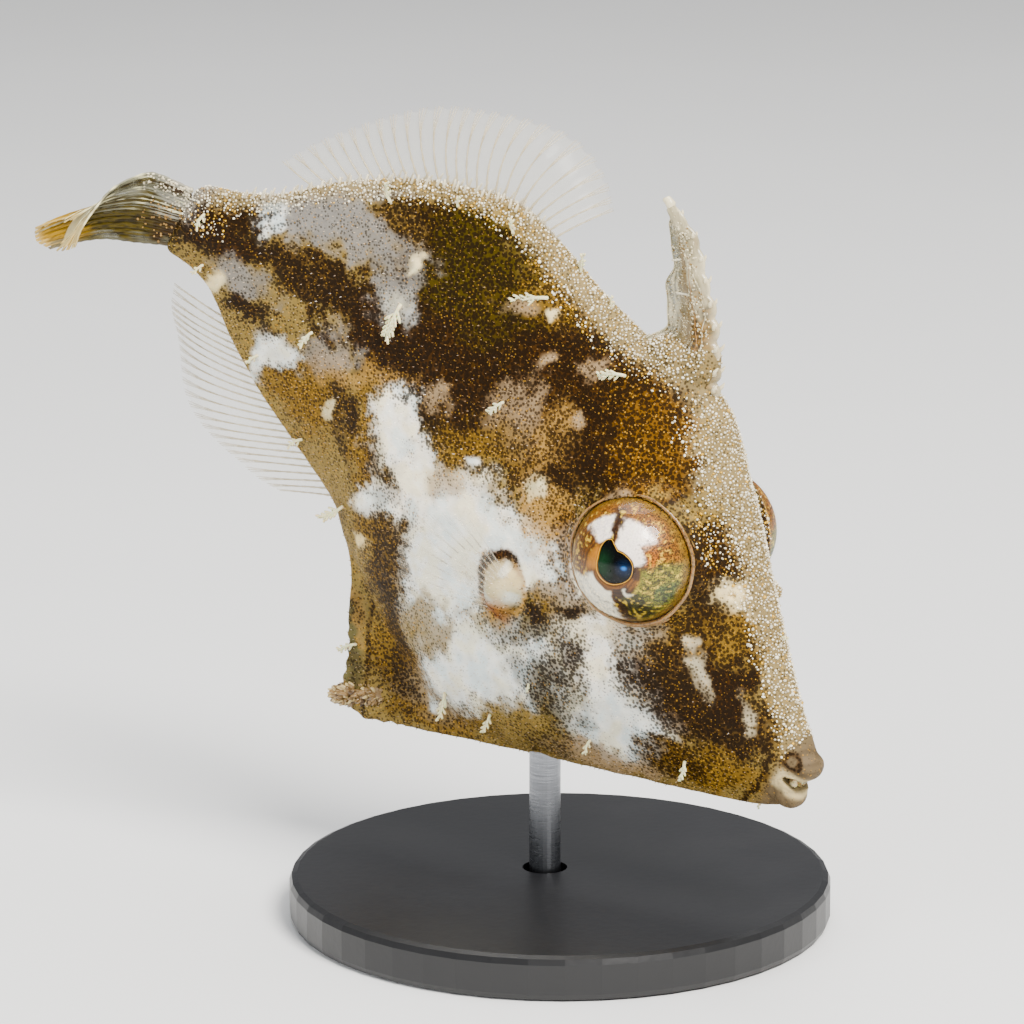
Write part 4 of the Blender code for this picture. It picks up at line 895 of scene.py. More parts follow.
def coatSeeds(plan, chance):
    # evenly spread places clear of the eyes: point, normal, place in the bake map, colour, dots and back
    rng = np.random.default_rng(plan["placeSeed"])
    points, normals = triesOnSkin(plan["tries"], rng)
    back, up, _side = inFish(points)
    stay = (back > plan["from"]) & (back < plan["to"])
    for hand in (1, -1):
        fromEye = np.linalg.norm(points - np.array(eyeMatrix(hand).translation), axis=1)
        stay &= fromEye > eyePlan["rimRadius"] + coatPlan["eyeMargin"]
    stay &= chance(rng.random(len(points)), ridgeShare(back, up))
    points, normals = points[stay], normals[stay]
    kept = spread(points, plan["spacing"])
    points, normals = points[kept], normals[kept]
    places = inFish(points)
    colour, amounts = paintSkin(*places)
    return list(zip(points, normals, bakePlace(*places), colour, amounts[:, 0], places[0]))


def buildSpinules():
    plan = coatPlan["spinules"]
    seeds = coatSeeds(plan, lambda draw, ridge: draw > 0.85 * ridge)
    rng = np.random.default_rng(plan["formSeed"])
    tailward = inWorld(1.0, 0.0, 0.0) - inWorld(0.0, 0.0, 0.0)
    pale, gold = toned(plan["pale"]), toned(plan["gold"])
    faces = [(0, 1, 4), (1, 2, 4), (2, 3, 4), (3, 0, 4), (3, 2, 1), (3, 1, 0)]
    pile = newPile()
    for p, n, place, colour, dotted, back in seeds:
        lie = unit(tailward - n * float(tailward @ n))
        lie = lie + np.cross(n, lie) * rng.normal(0, 0.35)
        across = unit(np.cross(n, lie))
        along = np.cross(across, n)
        radius = plan["radius"] * rng.uniform(0.8, 1.25)
        length = plan["length"] * rng.uniform(0.7, 1.25) * (0.55 + 0.45 * min(1.0, back / 9.0))
        root = p - n * plan["sunk"]
        ring = [root + (across * cx + along * cy) * radius for cx, cy in ((1, 0), (0, 1), (-1, 0), (0, -1))]
        tip = p + n * length * 0.72 + lie * length * plan["lean"]
        share = 0.6 - 0.42 * dotted
        bright = colour * (1 - share) + (gold * dotted + pale * (1 - dotted)) * share
        addToPile(pile, ring + [tip], faces, (*(bright * rng.uniform(0.6, 1.05)), 1.0), place)
    addPiece("spinuleCoat", meshOfPile("spinuleCoat", pile, "coatTone"), coatMaterial, "skin", smooth=False)
    print("spinules:", len(seeds))


def buildGranules():
    plan, pegs = coatPlan["granules"], coatPlan["pegs"]
    seeds = coatSeeds(plan, lambda draw, ridge: draw < ridge)
    rng = np.random.default_rng(plan["formSeed"])
    shape = bmesh.new()
    bmesh.ops.create_icosphere(shape, subdivisions=1, radius=1.0)
    bead = np.array([v.co[:] for v in shape.verts])
    faces = [[v.index for v in f.verts] for f in shape.faces]
    shape.free()
    pile = newPile()
    for p, n, place, colour, dotted, _back in seeds:
        radius = plan["radius"] * rng.uniform(0.6, 1.3)
        across = unit(np.cross(n, rng.normal(size=3)))
        along = np.cross(n, across)
        radius *= 1.35 if rng.random() < 0.12 else 1.0
        stretch = np.stack([across * rng.uniform(0.7, 1.25), along * rng.uniform(0.7, 1.25),
                            n * rng.uniform(0.8, 1.6)])
        golden = 0.08 + 1.2 * max(0.0, dotted - 0.6)  # more of them where the hide is dark
        tone = toned(plan["gold"] if rng.random() < golden else plan["pale"])
        share = rng.uniform(0.35, 1.0)
        tone = (tone * share + colour * (1 - share)) * rng.uniform(0.75, 1.12)
        addToPile(pile, p + (bead @ stretch) * radius, faces, (*tone, 1.0), place)
    for back in np.arange(pegs["from"], pegs["to"], pegs["step"]):
        for hand in (-1, 1):
            at = back + rng.uniform(-0.1, 0.1)
            side, top = hand * rng.uniform(0.18, 0.42), float(backUp(at))
            root = inWorld(at, top - 0.2, side)
            tip = inWorld(at + rng.uniform(-0.02, 0.1), top + rng.uniform(0.16, 0.3), side * 1.3)
            tone = toned(pegs["tone"]) * rng.uniform(0.7, 1.1)
            place = bakePlace(at, top, side)
            addTube(pile, [root, (root + tip) / 2, tip], [0.075, 0.06, 0.04], 6, tone, place=place)
    addPiece("ridgeGranules", meshOfPile("ridgeGranules", pile, "coatTone"), coatMaterial, "skin")
    print("granules:", len(seeds))


buildSpinules()
buildGranules()


# Skin tags: branched cream tassels. back, up, side, lean along back and up, length
tagPlan = {
    "tags": [
        (26.5, 4.0, "both", -0.3, -1, 1.7), (21.3, 8.6, "both", 0.7, -0.75, 1.7),
        (16.3, 8.5, "both", 0.75, -0.6, 1.3), (19.9, 4.1, "both", 0.25, -0.95, 0.9),
        (29.4, -0.1, "both", 0, -1, 0.9), (15.7, -10.1, "both", -0.5, -0.85, 1.2),
        (13.2, -9.0, "both", -0.3, -0.9, 0.9), (8.5, -6.0, "both", -0.4, -0.9, 0.7),
        (4.4, -3.4, "both", -0.5, -0.85, 0.9), (24.5, -6.6, "both", 0.4, -0.85, 1.3),
        (21.0, -12.3, "both", 0.5, -0.85, 1.0), (36.1, 1.4, "both", -0.2, -1, 0.8),
        (35.2, -0.9, "both", 0.2, -1, 0.7), (31.3, -3.2, "both", 0.3, -0.95, 0.7),
        (27.8, -5.4, "right", 0.4, -0.9, 0.8), (29.6, 7.2, "right", 0.5, 0.85, 1.0),
        (24.3, 9.7, "right", 0.5, 0.85, 0.8), (21.2, 9.85, "edge", 0.3, 0.95, 0.9),
        (19.1, 9.55, "edge", 0.5, 0.85, 0.6), (4.4, 3.65, "edge", -0.8, 0.55, 0.35),
        (1.1, -3.15, "edge", -0.5, -0.85, 0.3), (31.7, 5.4, "left", 0.4, 0.8, 0.5),
        (12.0, -5.6, "both", -0.4, -0.9, 0.4), (27.0, 9.0, "right", 0.2, 0.9, 0.6),
    ],
    "hands": {"both": (1, -1), "right": (-1,), "left": (1,), "edge": (0,)},
    "stalk": 0.085, "twig": 0.062, "branches": 11, "longer": 0.85, "steps": 7, "tone": (0.91, 0.85, 0.65),
    "seed": 9,
}
tagFinish = {"roughness": 0.4, "grain": 7000.0, "depth": 0.00002, "strength": 0.4, "tint": 0.12,
             "shader": {"Coat Weight": 0.15, "Coat Roughness": 0.12, "Subsurface Weight": 0.25,
                        "Subsurface Scale": 0.0003}}


def growTag(pile, root, out, lean, length, place, rng):
    # a stalk that rises and bends over, with twigs to both sides that fork near their ends
    steps, tone, twigSize = tagPlan["steps"], toned(tagPlan["tone"]), tagPlan["twig"]
    sway = np.cross(lean, out) * rng.uniform(-0.12, 0.12) * length
    shares = np.linspace(0, 1, steps)[:, None]
    rise = out * (0.34 * length) * np.sin(shares * 1.6)
    line = root + rise + lean * length * shares ** 1.25 + sway * np.sin(shares * 3.1)
    radii = tagPlan["stalk"] * (1 - 0.55 * shares[:, 0]) * (0.7 + 0.3 * min(1.5, length))
    addTube(pile, line, radii, 6, tone, place=place)
    aside = unit(np.cross(lean, out))
    count = max(3, int(tagPlan["branches"] * min(1.0, length / 1.4)))
    for b in range(count):
        share = 0.22 + 0.75 * b / count + rng.uniform(-0.03, 0.03)
        spot = share * (steps - 1)
        low = int(spot)
        at = line[low] + (line[min(low + 1, steps - 1)] - line[low]) * (spot - low)
        sign = 1 if b % 2 else -1
        reach = length * rng.uniform(0.26, 0.42) * (1 - 0.35 * share)
        way = lean * rng.uniform(0.5, 0.9) + aside * sign * rng.uniform(0.5, 0.9)
        way = unit(way + out * rng.uniform(-0.1, 0.55))
        twig = np.array([at + (way * t + lean * 0.25 * t * t) * reach for t in np.linspace(0, 1, 5)])
        radii = twigSize * np.array([0.9, 0.85, 0.8, 1.0, 0.85]) * (0.75 + 0.25 * min(1.3, length))
        shade = tone * rng.uniform(0.85, 1.05)
        addTube(pile, twig, radii, 5, shade, place=place)
        if length > 0.75:
            fork = unit(way + aside * sign * -0.9 + out * rng.uniform(-0.3, 0.6))
            end = np.array([twig[2] + fork * reach * 0.42 * t for t in np.linspace(0, 1, 4)])
            addTube(pile, end, twigSize * np.array([0.8, 0.75, 0.75, 0.6]), 5, shade, place=place)


def buildTags():
    pile = newPile()
    rng = np.random.default_rng(tagPlan["seed"])
    for back, up, sides, leanBack, leanUp, length in tagPlan["tags"]:
        lean = unit(inWorld(leanBack, leanUp, 0.0) - inWorld(0.0, 0.0, 0.0))
        for hand in tagPlan["hands"][sides]:
            side = hand * float(skinHalfWidth(back, up))
            out = np.array([0.0, hand or -0.7, 0.0]) + (0 if hand else lean * 0.5)
            out = unit(out + lean * 0.25)
            root, place = inWorld(back, up, side * 0.97), bakePlace(back, up, side)
            growTag(pile, root, out, lean, length * tagPlan["longer"], place, rng)
    tagMaterial = tonedMaterial("tagFlesh", "tagTone", tagFinish)
    addPiece("skinTags", meshOfPile("skinTags", pile, "tagTone"), tagMaterial, "skin")


buildTags()
print("skin tags built")


# Eyes: a domed iris in sectors round a pointed pupil, a clear cornea over it, and a fold of skin round both
irisPlan = {
    "tones": {"orange": (0.44, 0.26, 0.0), "brown": (0.16, 0.08, 0.01), "gold": (0.70, 0.44, 0.0),
              "green": (0.46, 0.46, 0.05), "silver": (0.93, 0.90, 0.80), "white": (1.0, 0.94, 0.88),
              "pink": (0.54, 0.33, 0.05), "dark": (0.06, 0.03, 0.01), "teal": (0.14, 0.34, 0.20),
              "rose": (0.70, 0.34, 0.0), "margin": (0.44, 0.32, 0.05), "ring": (0.82, 0.60, 0.10)},
    # middle and half width in degrees, nearest and furthest reach, tone, dots, strength, softness; the white
    # sectors are painted highlights of the lamps
    "sectors": [
        (155, 28, 0.8, 1.25, "gold", 0.0, 0.7, 10), (12, 48, 1.2, 2.9, "gold", 0.85, 0.85, 5),
        (22, 16, 1.3, 2.1, "rose", 0.8, 0.5, 10), (4, 24, 0.85, 1.45, "brown", 0.3, 0.85, 5),
        (-34, 42, 1.25, 2.9, "green", 0.8, 0.9, 8), (-26, 12, 1.9, 2.5, "teal", 0.7, 0.6, 8),
        # painted highlights: the white sectors on this line and the next
        (48, 34, 1.95, 2.9, "pink", 0.85, 0.85, 5), (63, 22, 0.6, 2.1, "white", 0.0, 1.0, 5),
        (34, 16, 0.6, 1.5, "white", 0.0, 0.95, 5), (113, 15, 1.3, 2.2, "white", 0.0, 0.95, 5),
        (112, 24, 2.2, 2.9, "pink", 0.8, 0.7, 5), (94, 4, 1.0, 1.7, "brown", 0.1, 0.95, 3),
        (93, 8, 1.6, 2.4, "brown", 0.1, 0.9, 4), (232, 36, 0.95, 2.45, "silver", 0.0, 0.97, 5),
        (232, 34, 1.55, 1.62, "brown", 0.0, 0.35, 5), (232, 34, 1.95, 2.0, "brown", 0.0, 0.25, 5),
        (-68, 20, 0.85, 2.5, "dark", 0.3, 0.8, 5), (-58, 3, 0.9, 1.35, "silver", 0.0, 0.8, 3),
    ],
    "glint": (0.50, 0.33, 0.02),
    # linear colours of the pupil, and of the green sheen and the blue highlight with its halo painted on it
    "pupil": (0.0006, 0.0008, 0.0008), "pupilGreenSheen": (0.002, 0.024, 0.006), "pupilHighlightHalo": (0.0, 0.008, 0.03),
    "pupilBlueHighlight": (0.01, 0.12, 0.40),
    "lidPale": (0.66, 0.50, 0.28), "lidTan": (0.36, 0.25, 0.08), "lidFleck": (0.14, 0.08, 0.03),
}


def awayFrom(angle, middle):
    return np.abs((angle - middle + 180) % 360 - 180)


def irisTone(forward, up):
    # colour of the iris, with painted highlights in its white sectors, and in the last column how thickly
    # fine dark dots lie on it
    place = np.stack([forward, up, np.zeros_like(up)], axis=1)
    angle = np.degrees(np.arctan2(up, forward))
    angle = angle + 6 * fieldNoise(place, 0.5, 51) + 3 * fieldNoise(place, 0.15, 52)
    reach = np.hypot(forward, up) + 0.05 * fieldNoise(place, 0.3, 53)
    rows = {name: toned(rgb) for name, rgb in irisPlan["tones"].items()}
    colour = np.tile([*rows["orange"], 0.5], (len(up), 1))

    def lay(share, toneName, dots):
        colour[:] = blended(colour, np.array([*rows[toneName], dots]), share)

    rings = 0.5 + 0.5 * np.sin(reach * 38 + 1.2 * fieldNoise(place, 0.35, 54))
    lay(0.65 * rings, "brown", 0.2)
    for middle, half, low, high, toneName, dots, strength, soft in irisPlan["sectors"]:
        share = softStep(half + soft, half - soft, awayFrom(angle, middle))
        share = share * softStep(low - 0.06, low + 0.06, reach) * softStep(high + 0.08, high - 0.08, reach)
        lay(share * strength, toneName, dots)
    lower = softStep(1.1, 1.6, reach) * softStep(80, 40, awayFrom(angle, -20))
    lay(0.75 * patches(place * [1.0, 1.6, 1.0], 0.075, 55, 0.0, 0.35) * lower, "dark", 0.5)
    outer = softStep(1.1, 1.5, reach) * (1 - colour[:, 0] * 0.8)
    colour[:, :3] += (patches(place, 0.12, 56, 0.3, 0.6) * outer)[:, None] * np.array(irisPlan["glint"])
    streaks = patches(place, 0.06, 57, 0.1, 0.5) * softStep(1.2, 1.5, reach)
    colour[:, :3] *= (1 - 0.55 * streaks * softStep(0.9, 0.4, colour[:, 2]))[:, None]
    lay(softStep(2.46, 2.62, reach) * 0.85, "margin", 0.8)
    return np.clip(colour, 0, 1)


def pupilTone(forward, up):
    # nearly black, with a painted green sheen at its rear and a painted blue highlight with its halo low in
    # front
    green = softStep(0.1, -0.7, forward) * softStep(0.9, 0.2, np.abs(up + 0.1))
    highlightHalo = softStep(0.55, 0.0, np.hypot(forward - 0.45, up + 0.15))
    blueHighlight = softStep(0.17, 0.03, np.hypot(forward - 0.42, (up + 0.12) * 1.3))
    tones = np.tile(irisPlan["pupil"], (len(up), 1))
    for share, key in ((green, "pupilGreenSheen"), (highlightHalo, "pupilHighlightHalo"), (blueHighlight, "pupilBlueHighlight")):
        tones = tones + share[:, None] * np.array(irisPlan[key])
    return np.column_stack([tones, np.ones(len(up))])


def irisMaterial():
    made, tree, shader = newMaterial("irisGlaze", {"Metallic": 0.1, "Specular IOR Level": 0.3})
    place = placeOf(tree)
    painted = node(tree, "Attribute", attribute_name="irisTone").outputs
    specks, distance = spots(tree, place, 10500.0, times(tree, painted["Alpha"], 0.52), 5.0)
    share = times(tree, specks, maths(tree, "POWER", painted["Alpha"], 0.4))
    fine = noise(tree, place, 14000.0, 3.0)
    lively = brighter(tree, painted["Color"], scaled(tree, fine, 0.7, 0.65))
    dotted = mixColour(tree, times(tree, share, 0.9), lively, toned(irisPlan["tones"]["dark"]))
    wireUp(tree, shader, dotted, scaled(tree, fine, 0.3, 0.25), distance)
    return made


def corneaMaterial():
    made, tree, shader = newMaterial("clearCornea", {})
    tree.nodes.remove(shader)
    facing = node(tree, "LayerWeight", Blend=0.5).outputs["Facing"]
    mix = node(tree, "MixShader")
    fill(tree, mix.inputs[0], scaled(tree, maths(tree, "POWER", facing, 4.0), 0.12, 0.02))
    fill(tree, mix.inputs[1], node(tree, "BsdfTransparent").outputs[0])
    fill(tree, mix.inputs[2], node(tree, "BsdfGlossy", Roughness=0.02).outputs[0])
    fill(tree, tree.nodes["Material Output"].inputs["Surface"], mix.outputs[0])
    return made


def lidMaterial():
    made, tree, shader = newMaterial("eyelidFold", {"Roughness": 0.3, "Subsurface Weight": 0.3,
                                                    "Subsurface Scale": 0.0004, "Coat Weight": 0.3})
    place = placeOf(tree)
    flecks, distance = spots(tree, place, 7000.0, 0.36)
    patchy = noise(tree, place, 900.0, 2.0)
    amount = times(tree, flecks, times(tree, patchy, 1.1))
    base = mixColour(tree, patchy, toned(irisPlan["lidPale"]), toned(irisPlan["lidTan"]))
    painted = mixColour(tree, amount, base, toned(irisPlan["lidFleck"]))
    wireUp(tree, shader, painted, height=distance, depth=0.00003)
    return made


pupilFinish = {"roughness": 0.25, "grain": 3000.0, "depth": 0.00001, "strength": 0.1, "tint": 0.1,
               "shader": {"Specular IOR Level": 0.05}}
eyeMaterials = {"iris": irisMaterial(), "pupil": tonedMaterial("pupilLens", "pupilTone", pupilFinish),
                "cornea": corneaMaterial(), "lid": lidMaterial()}


def buildEye(hand, word):
    matrix, radius, columns = eyeMatrix(hand), eyePlan["irisRadius"], eyePlan["columns"]
    angle = np.arange(columns) * 2 * math.pi / columns
    circle = np.stack([np.cos(angle), np.sin(angle)], axis=1)
    centre, flip = np.array(eyePlan["pupilCentre"]), [-hand, 1]
    away = (np.degrees(angle) + 180) % 360 - 180
    inner = centre + smoothCurve(eyePlan["pupilShape"])(away)[:, None] * circle
    outer = eyePlan["irisEdge"] * radius * circle

    def dome(flat):
        return np.sqrt(np.maximum(radius ** 2 - (flat ** 2).sum(1), 0))

    def addDisc(piece, flats, heights, attribute, tones, *nodes):
        points = np.column_stack([np.concatenate(flats) * flip, np.concatenate(heights)])
        mesh = meshOf(piece, moved(points, matrix), ringFaces(len(flats), columns, split=False, closed=False))
        setTone(mesh, attribute, tones)
        addPiece(piece + "_" + word, outward(mesh), eyeMaterials[piece], "eye", *nodes)

    # the iris rolls in at the pupil and ends in a skirt behind the lid
    shares = np.concatenate([[0, 0.01, 0.025], np.linspace(0.045, 1, 70)])
    flats = [inner + (outer - inner) * share for share in shares]
    heights = [dome(flat) - 0.16 * math.exp(-share / 0.02) for flat, share in zip(flats, shares)]
    flats, heights = flats + [outer * 0.97], heights + [np.full(columns, -0.4)]
    addDisc("iris", flats, heights, "irisTone", irisTone(*np.concatenate(flats).T), "eye_" + word)

    shares = np.linspace(1.04, 0.0, 16)
    flats = [centre + (inner - centre) * share for share in shares]
    heights = [dome(flat) - 0.17 + 0.09 * (1 - min(share, 1) ** 2) for flat, share in zip(flats, shares)]
    addDisc("pupil", flats, heights, "pupilTone", pupilTone(*(np.concatenate(flats) - centre).T))

    thread = newPile()
    line = moved(np.column_stack([inner * flip, dome(inner) - 0.02]), matrix)
    line = np.concatenate([line, line[:1]])
    addTube(thread, line, eyePlan["ringRadius"], 8, toned(irisPlan["tones"]["ring"]), 0.05)
    addPiece("pupilRing_" + word, meshOfPile("pupilRing", thread, "irisTone"), eyeMaterials["iris"], "eye")

    shell, coarse = [], circle[::3]
    for tilt in np.linspace(math.radians(88), math.radians(0.5), 40):
        ring = np.column_stack([coarse * math.sin(tilt), np.full(len(coarse), math.cos(tilt))])
        shell.append(ring * eyePlan["corneaRadius"])
    faces = ringFaces(len(shell), len(coarse), split=False, closed=False)
    mesh = meshOf("cornea", moved(np.concatenate(shell), matrix), faces)
    addPiece("cornea_" + word, mesh, eyeMaterials["cornea"], "eye")

    # two soft folds of skin round the eye, thicker below
    fold = newPile()
    turns = np.linspace(0, 2 * math.pi, 145)
    lower = 0.5 + 0.5 * np.cos(turns + math.radians(50))
    wave = 0.015 * np.sin(turns * 5 + 1) + 0.012 * np.sin(turns * 11)
    for offset, thick, out in eyePlan["rimFolds"]:
        reach = eyePlan["rimRadius"] + offset + wave * (1 + offset)
        height = eyePlan["rimOut"] + out + 0.05 * np.sin(turns * 3)
        line = np.column_stack([np.cos(turns) * reach * -hand, np.sin(turns) * reach, height])
        radii = eyePlan["rimThickness"] * thick * (0.8 + 0.5 * lower)
        addTube(fold, moved(line, matrix), radii, 12, (1, 1, 1))
    addPiece("eyelid_" + word, meshOfPile("eyelid", fold, "lidTone"), eyeMaterials["lid"], "skin")


for hand, word in ((1, "left"), (-1, "right")):
    buildEye(hand, word)
print("eyes built")


# Teeth: the small chisels of each jaw, two side by side
toothPlan = {"back": 0.05, "thickness": 0.38, "halfWidth": 0.2, "height": 0.36, "space": 0.12,
             "mouthUp": -0.86, "narrowing": 0.25, "bevel": 0.09,
             "pale": (0.98, 0.93, 0.76), "stained": (0.90, 0.78, 0.52)}


def toothMaterial():
    made, tree, shader = newMaterial("toothEnamel", {"Subsurface Weight": 0.2, "Subsurface Scale": 0.0003})
    cloud = noise(tree, placeOf(tree), 2500.0, 3.0)
    painted = mixColour(tree, cloud, toned(toothPlan["pale"]), toned(toothPlan["stained"]))
    wireUp(tree, shader, painted, scaled(tree, cloud, 0.2, 0.15))
    return made


enamel = toothMaterial()
for name, hand, solid in (("upperTeethSkin", 1, "upper_teeth"), ("lowerTeethSkin", -1, "lower_teeth")):
    shape = bmesh.new()
    for column in (-1, 1):
        for v in bmesh.ops.create_cube(shape, size=1.0)["verts"]:
            narrow = 1 - toothPlan["narrowing"] * (0.5 - v.co.z * hand)
            back = toothPlan["back"] + (v.co.x + 0.5) * toothPlan["thickness"]
            side = column * toothPlan["halfWidth"] * 1.04 + v.co.y * 2 * toothPlan["halfWidth"] * narrow
            reach = toothPlan["space"] / 2 + (0.5 + v.co.z * hand) * toothPlan["height"]
            v.co = Vector(inWorld(back, toothPlan["mouthUp"] + hand * reach, side))
    bmesh.ops.bevel(shape, geom=shape.edges[:], offset=toothPlan["bevel"], segments=3, affect="EDGES")
    addPiece(name, meshFrom(shape, name), enamel, "tooth", solid)
print("teeth built")


# Fins: thin clear skin between jointed, forking rays
finPlan = {
    # lean to the left and sweep to the rear, in degrees, by the place along the fin
    "dorsal": {"first": 23.0, "last": 33.0, "rays": 26, "lengths": [2.7, 3.9, 3.7, 2.9, 1.9],
               "lean": lambda place: 44 - 34 * place, "sweep": lambda place: 48 * place - 12},
    "anal": {"first": 25.6, "last": 33.6, "rays": 24, "lengths": [2.6, 4.5, 5.8, 5.0, 2.8],
             "lean": lambda place: 20 * np.sin(math.pi * place - 0.5),
             "sweep": lambda place: 30 + 14 * place},
    "tail": {
        "rays": 13, "columnsPerRay": 6, "steps": 40, "notch": 0.43, "notchDepth": 0.26, "fold": 0.4,
        "skinHalf": 0.025, "glint": (0.90, 0.87, 0.68),
        # guide rays: place across the fin, then back, up and side from root to tip
        "guides": [
            (0.0, [(37.33, 1.78, 0.0), (39.19, 1.3, 0.15), (39.74, 0.15, -0.88),
                   (39.49, -0.63, -1.91), (39.13, -1.51, -2.89), (38.82, -2.06, -3.34)]),
            (0.18, [(37.27, 1.47, 0.0), (39.2, 0.88, 0.15), (39.88, -0.34, -0.71),
                    (39.76, -1.19, -1.57), (39.43, -2.04, -2.54), (39.27, -2.67, -2.92)]),
            (0.36, [(37.21, 1.06, 0.0), (39.29, 0.32, 0.29), (40.08, -0.9, -0.41),
                    (40.04, -1.79, -1.13), (39.82, -2.63, -1.94), (39.92, -3.3, -2.19)]),
            (0.5, [(37.12, 0.49, 0.0), (39.14, -0.4, 0.32), (40.35, -1.52, 0.23),
                   (41.16, -2.52, 0.16), (41.73, -3.41, 0.07), (42.19, -4.24, 0.13)]),
            (0.75, [(37.0, -0.35, 0.0), (38.91, -1.3, 0.41), (40.16, -2.31, 0.44),
                    (40.88, -3.24, 0.31), (41.47, -4.08, 0.23), (41.87, -4.68, 0.25)]),
            (1.0, [(36.86, -1.11, 0.0), (38.49, -2.18, 0.2), (39.63, -2.88, 0.26),
                   (40.41, -3.64, 0.26), (40.95, -4.29, 0.25), (41.38, -4.85, 0.28)]),
        ],
        # strong and fine rays, closer together in the folded upper half: half, columns apart, radius
        "strands": [("upper", 6, 0.06), ("upper", 2, 0.034), ("lower", 6, 0.075), ("lower", 3, 0.04)],
        "beads": 420, "beadSeed": 15, "beadRadius": 0.065, "beadOut": 0.07,
        "upperBead": (0.90, 0.85, 0.72), "lowerBead": (0.62, 0.48, 0.26),
    },
    "pectoral": {"back": 15.0, "up": -2.7, "height": 1.9, "rays": 11, "length": 4.3, "spread": 27,
                 "fan": 62, "turn": -14},
    "columnsPerRay": 4, "scallop": 0.05,
}
# tones are a colour, then how thick it looks at the root and at the edge
edgeFinLook = {"skinHalf": 0.022, "rayRadius": 0.045, "skinTone": ((0.86, 0.84, 0.76), 0.16, 0.07),
               "rayTone": ((0.78, 0.72, 0.58), 0.75, 0.35)}
sideFinLook = {"skinHalf": 0.02, "rayRadius": 0.035, "skinTone": ((0.88, 0.86, 0.80), 0.06, 0.04),
               "rayTone": ((0.84, 0.80, 0.70), 0.22, 0.10)}
finFinish = {"roughness": 0.28, "grain": 5000.0, "depth": 0.00002, "strength": 0.4, "tint": 0.2, "veil": True,
             "shader": {"Coat Weight": 0.2, "Coat Roughness": 0.12}}
tailFinish = {**finFinish, "roughness": 0.5, "tint": 0.25, "shader": {"Specular IOR Level": 0.25}}
finMaterial = tonedMaterial("clearFin", "finTone", finFinish)
tailMaterial = tonedMaterial("clearTail", "finTone", tailFinish)


def finSkin(pile, rows, half, toneAt):
    # closed thin sheet over a grid of points, rows from root to edge
    grid = np.asarray(rows, float)
    high, wide = grid.shape[:2]
    normal = unit(np.cross(np.gradient(grid, axis=1), np.gradient(grid, axis=0)))
    points = np.concatenate([(grid + normal * half).reshape(-1, 3), (grid - normal * half).reshape(-1, 3)])
    shares = np.repeat(np.linspace(0, 1, high), wide)
    places = np.tile(np.linspace(0, 1, wide), high)
    faces, rear = [], high * wide
    for i in range(high - 1):
        for j in range(wide - 1):
            a, b = i * wide + j, i * wide + j + 1
            c, d = b + wide, a + wide
            faces += [(a, b, c), (a, c, d), (rear + c, rear + b, rear + a), (rear + d, rear + c, rear + a)]
    rim = list(range(wide)) + [i * wide + wide - 1 for i in range(1, high)]
    rim += [(high - 1) * wide + j for j in range(wide - 2, -1, -1)]
    rim += [i * wide for i in range(high - 2, 0, -1)]
    for a, b in zip(rim, rim[1:] + rim[:1]):
        faces += [(b, a, rear + a), (b, rear + a, rear + b)]
    addToPile(pile, points, faces, toneAt(np.tile(shares, 2), np.tile(places, 2)))


def finRays(pile, lines, radius, toneAt):
    # jointed rays that fork in their outer half; each line runs from root to edge
    sides = 5

    def addRay(line, radii, tone):
        tones = np.concatenate([np.repeat(tone, sides, axis=0), tone[:1], tone[-1:]])
        addToPile(pile, *tube(line, radii, sides), tones)

    for r, line in enumerate(lines):
        steps = len(line)
        shares = np.linspace(0, 1, steps)
        radii = radius * (1.15 - 0.6 * shares) * (1 + 0.22 * np.cos(shares * steps * 1.9))
        tone = toneAt(shares, np.full(steps, r / max(len(lines) - 1, 1)))
        addRay(line, radii, tone)
        start = steps // 2
        lean = np.linspace(0, 1, steps - start)[:, None] ** 1.2 * 0.24
        for other in lines[max(r - 1, 0):r] + lines[r + 1:r + 2]:
            addRay(line[start:] * (1 - lean) + other[start:] * lean, radii[start:] * 0.75, tone[start:])


def rayGrid(rays, steps, perRay):
    # grids of the share from root to edge and the place along the fin, then 1 midway between two rays and
    # 0 on them, then the swing to either side of a ray
    places = np.linspace(0, 1, (rays - 1) * perRay + 1)
    share, place = np.meshgrid(np.linspace(0, 1, steps), places, indexing="ij")
    phase = 2 * math.pi * place * (rays - 1)
    return share, place, 0.5 - 0.5 * np.cos(phase), np.sin(phase)


def clearTone(rgb, rootVeil, edgeVeil):
    def at(shares, places):
        veil = rootVeil + (edgeVeil - rootVeil) * shares
        return np.column_stack([np.tile(toned(rgb), (len(shares), 1)), veil])
    return at


def addClearFin(name, solid, grid, look):
    pile = newPile()
    finSkin(pile, grid, look["skinHalf"], clearTone(*look["skinTone"]))
    rays = [grid[:, j] for j in range(0, grid.shape[1], finPlan["columnsPerRay"])]
    finRays(pile, rays, look["rayRadius"], clearTone(*look["rayTone"]))
    addPiece(name, meshOfPile(name, pile, "finTone"), finMaterial, "fin", solid)


def edgeFin(name, solid, plan, edge, hand):
    share, place, hollow, wave = rayGrid(plan["rays"], 22, finPlan["columnsPerRay"])
    back = plan["first"] + (plan["last"] - plan["first"]) * place
    slope = (edge(back + 0.2) - edge(back - 0.2)) / 0.4
    steep = np.hypot(slope, 1)
    level = np.ones_like(slope)
    upright, forward = np.stack([-slope, level]) / steep * hand, np.stack([level, slope]) / steep
    lean, sweep = np.radians(plan["lean"](place)), np.radians(plan["sweep"](place))
    swept = upright * np.cos(sweep) + forward * np.sin(sweep)
    reach = evenCurve(plan["lengths"])(place) * (share - finPlan["scallop"] * share ** 3 * hollow)
    tip = lean * share
    ripple = 0.06 * share * wave + 0.2 * share * np.sin(place * 9 + 1)
    atBack, atUp = np.stack([back, edge(back)]) - upright * 0.1 + swept * reach * np.cos(tip)
    addClearFin(name, solid, inWorld(atBack, atUp, reach * np.sin(tip) + ripple), edgeFinLook)


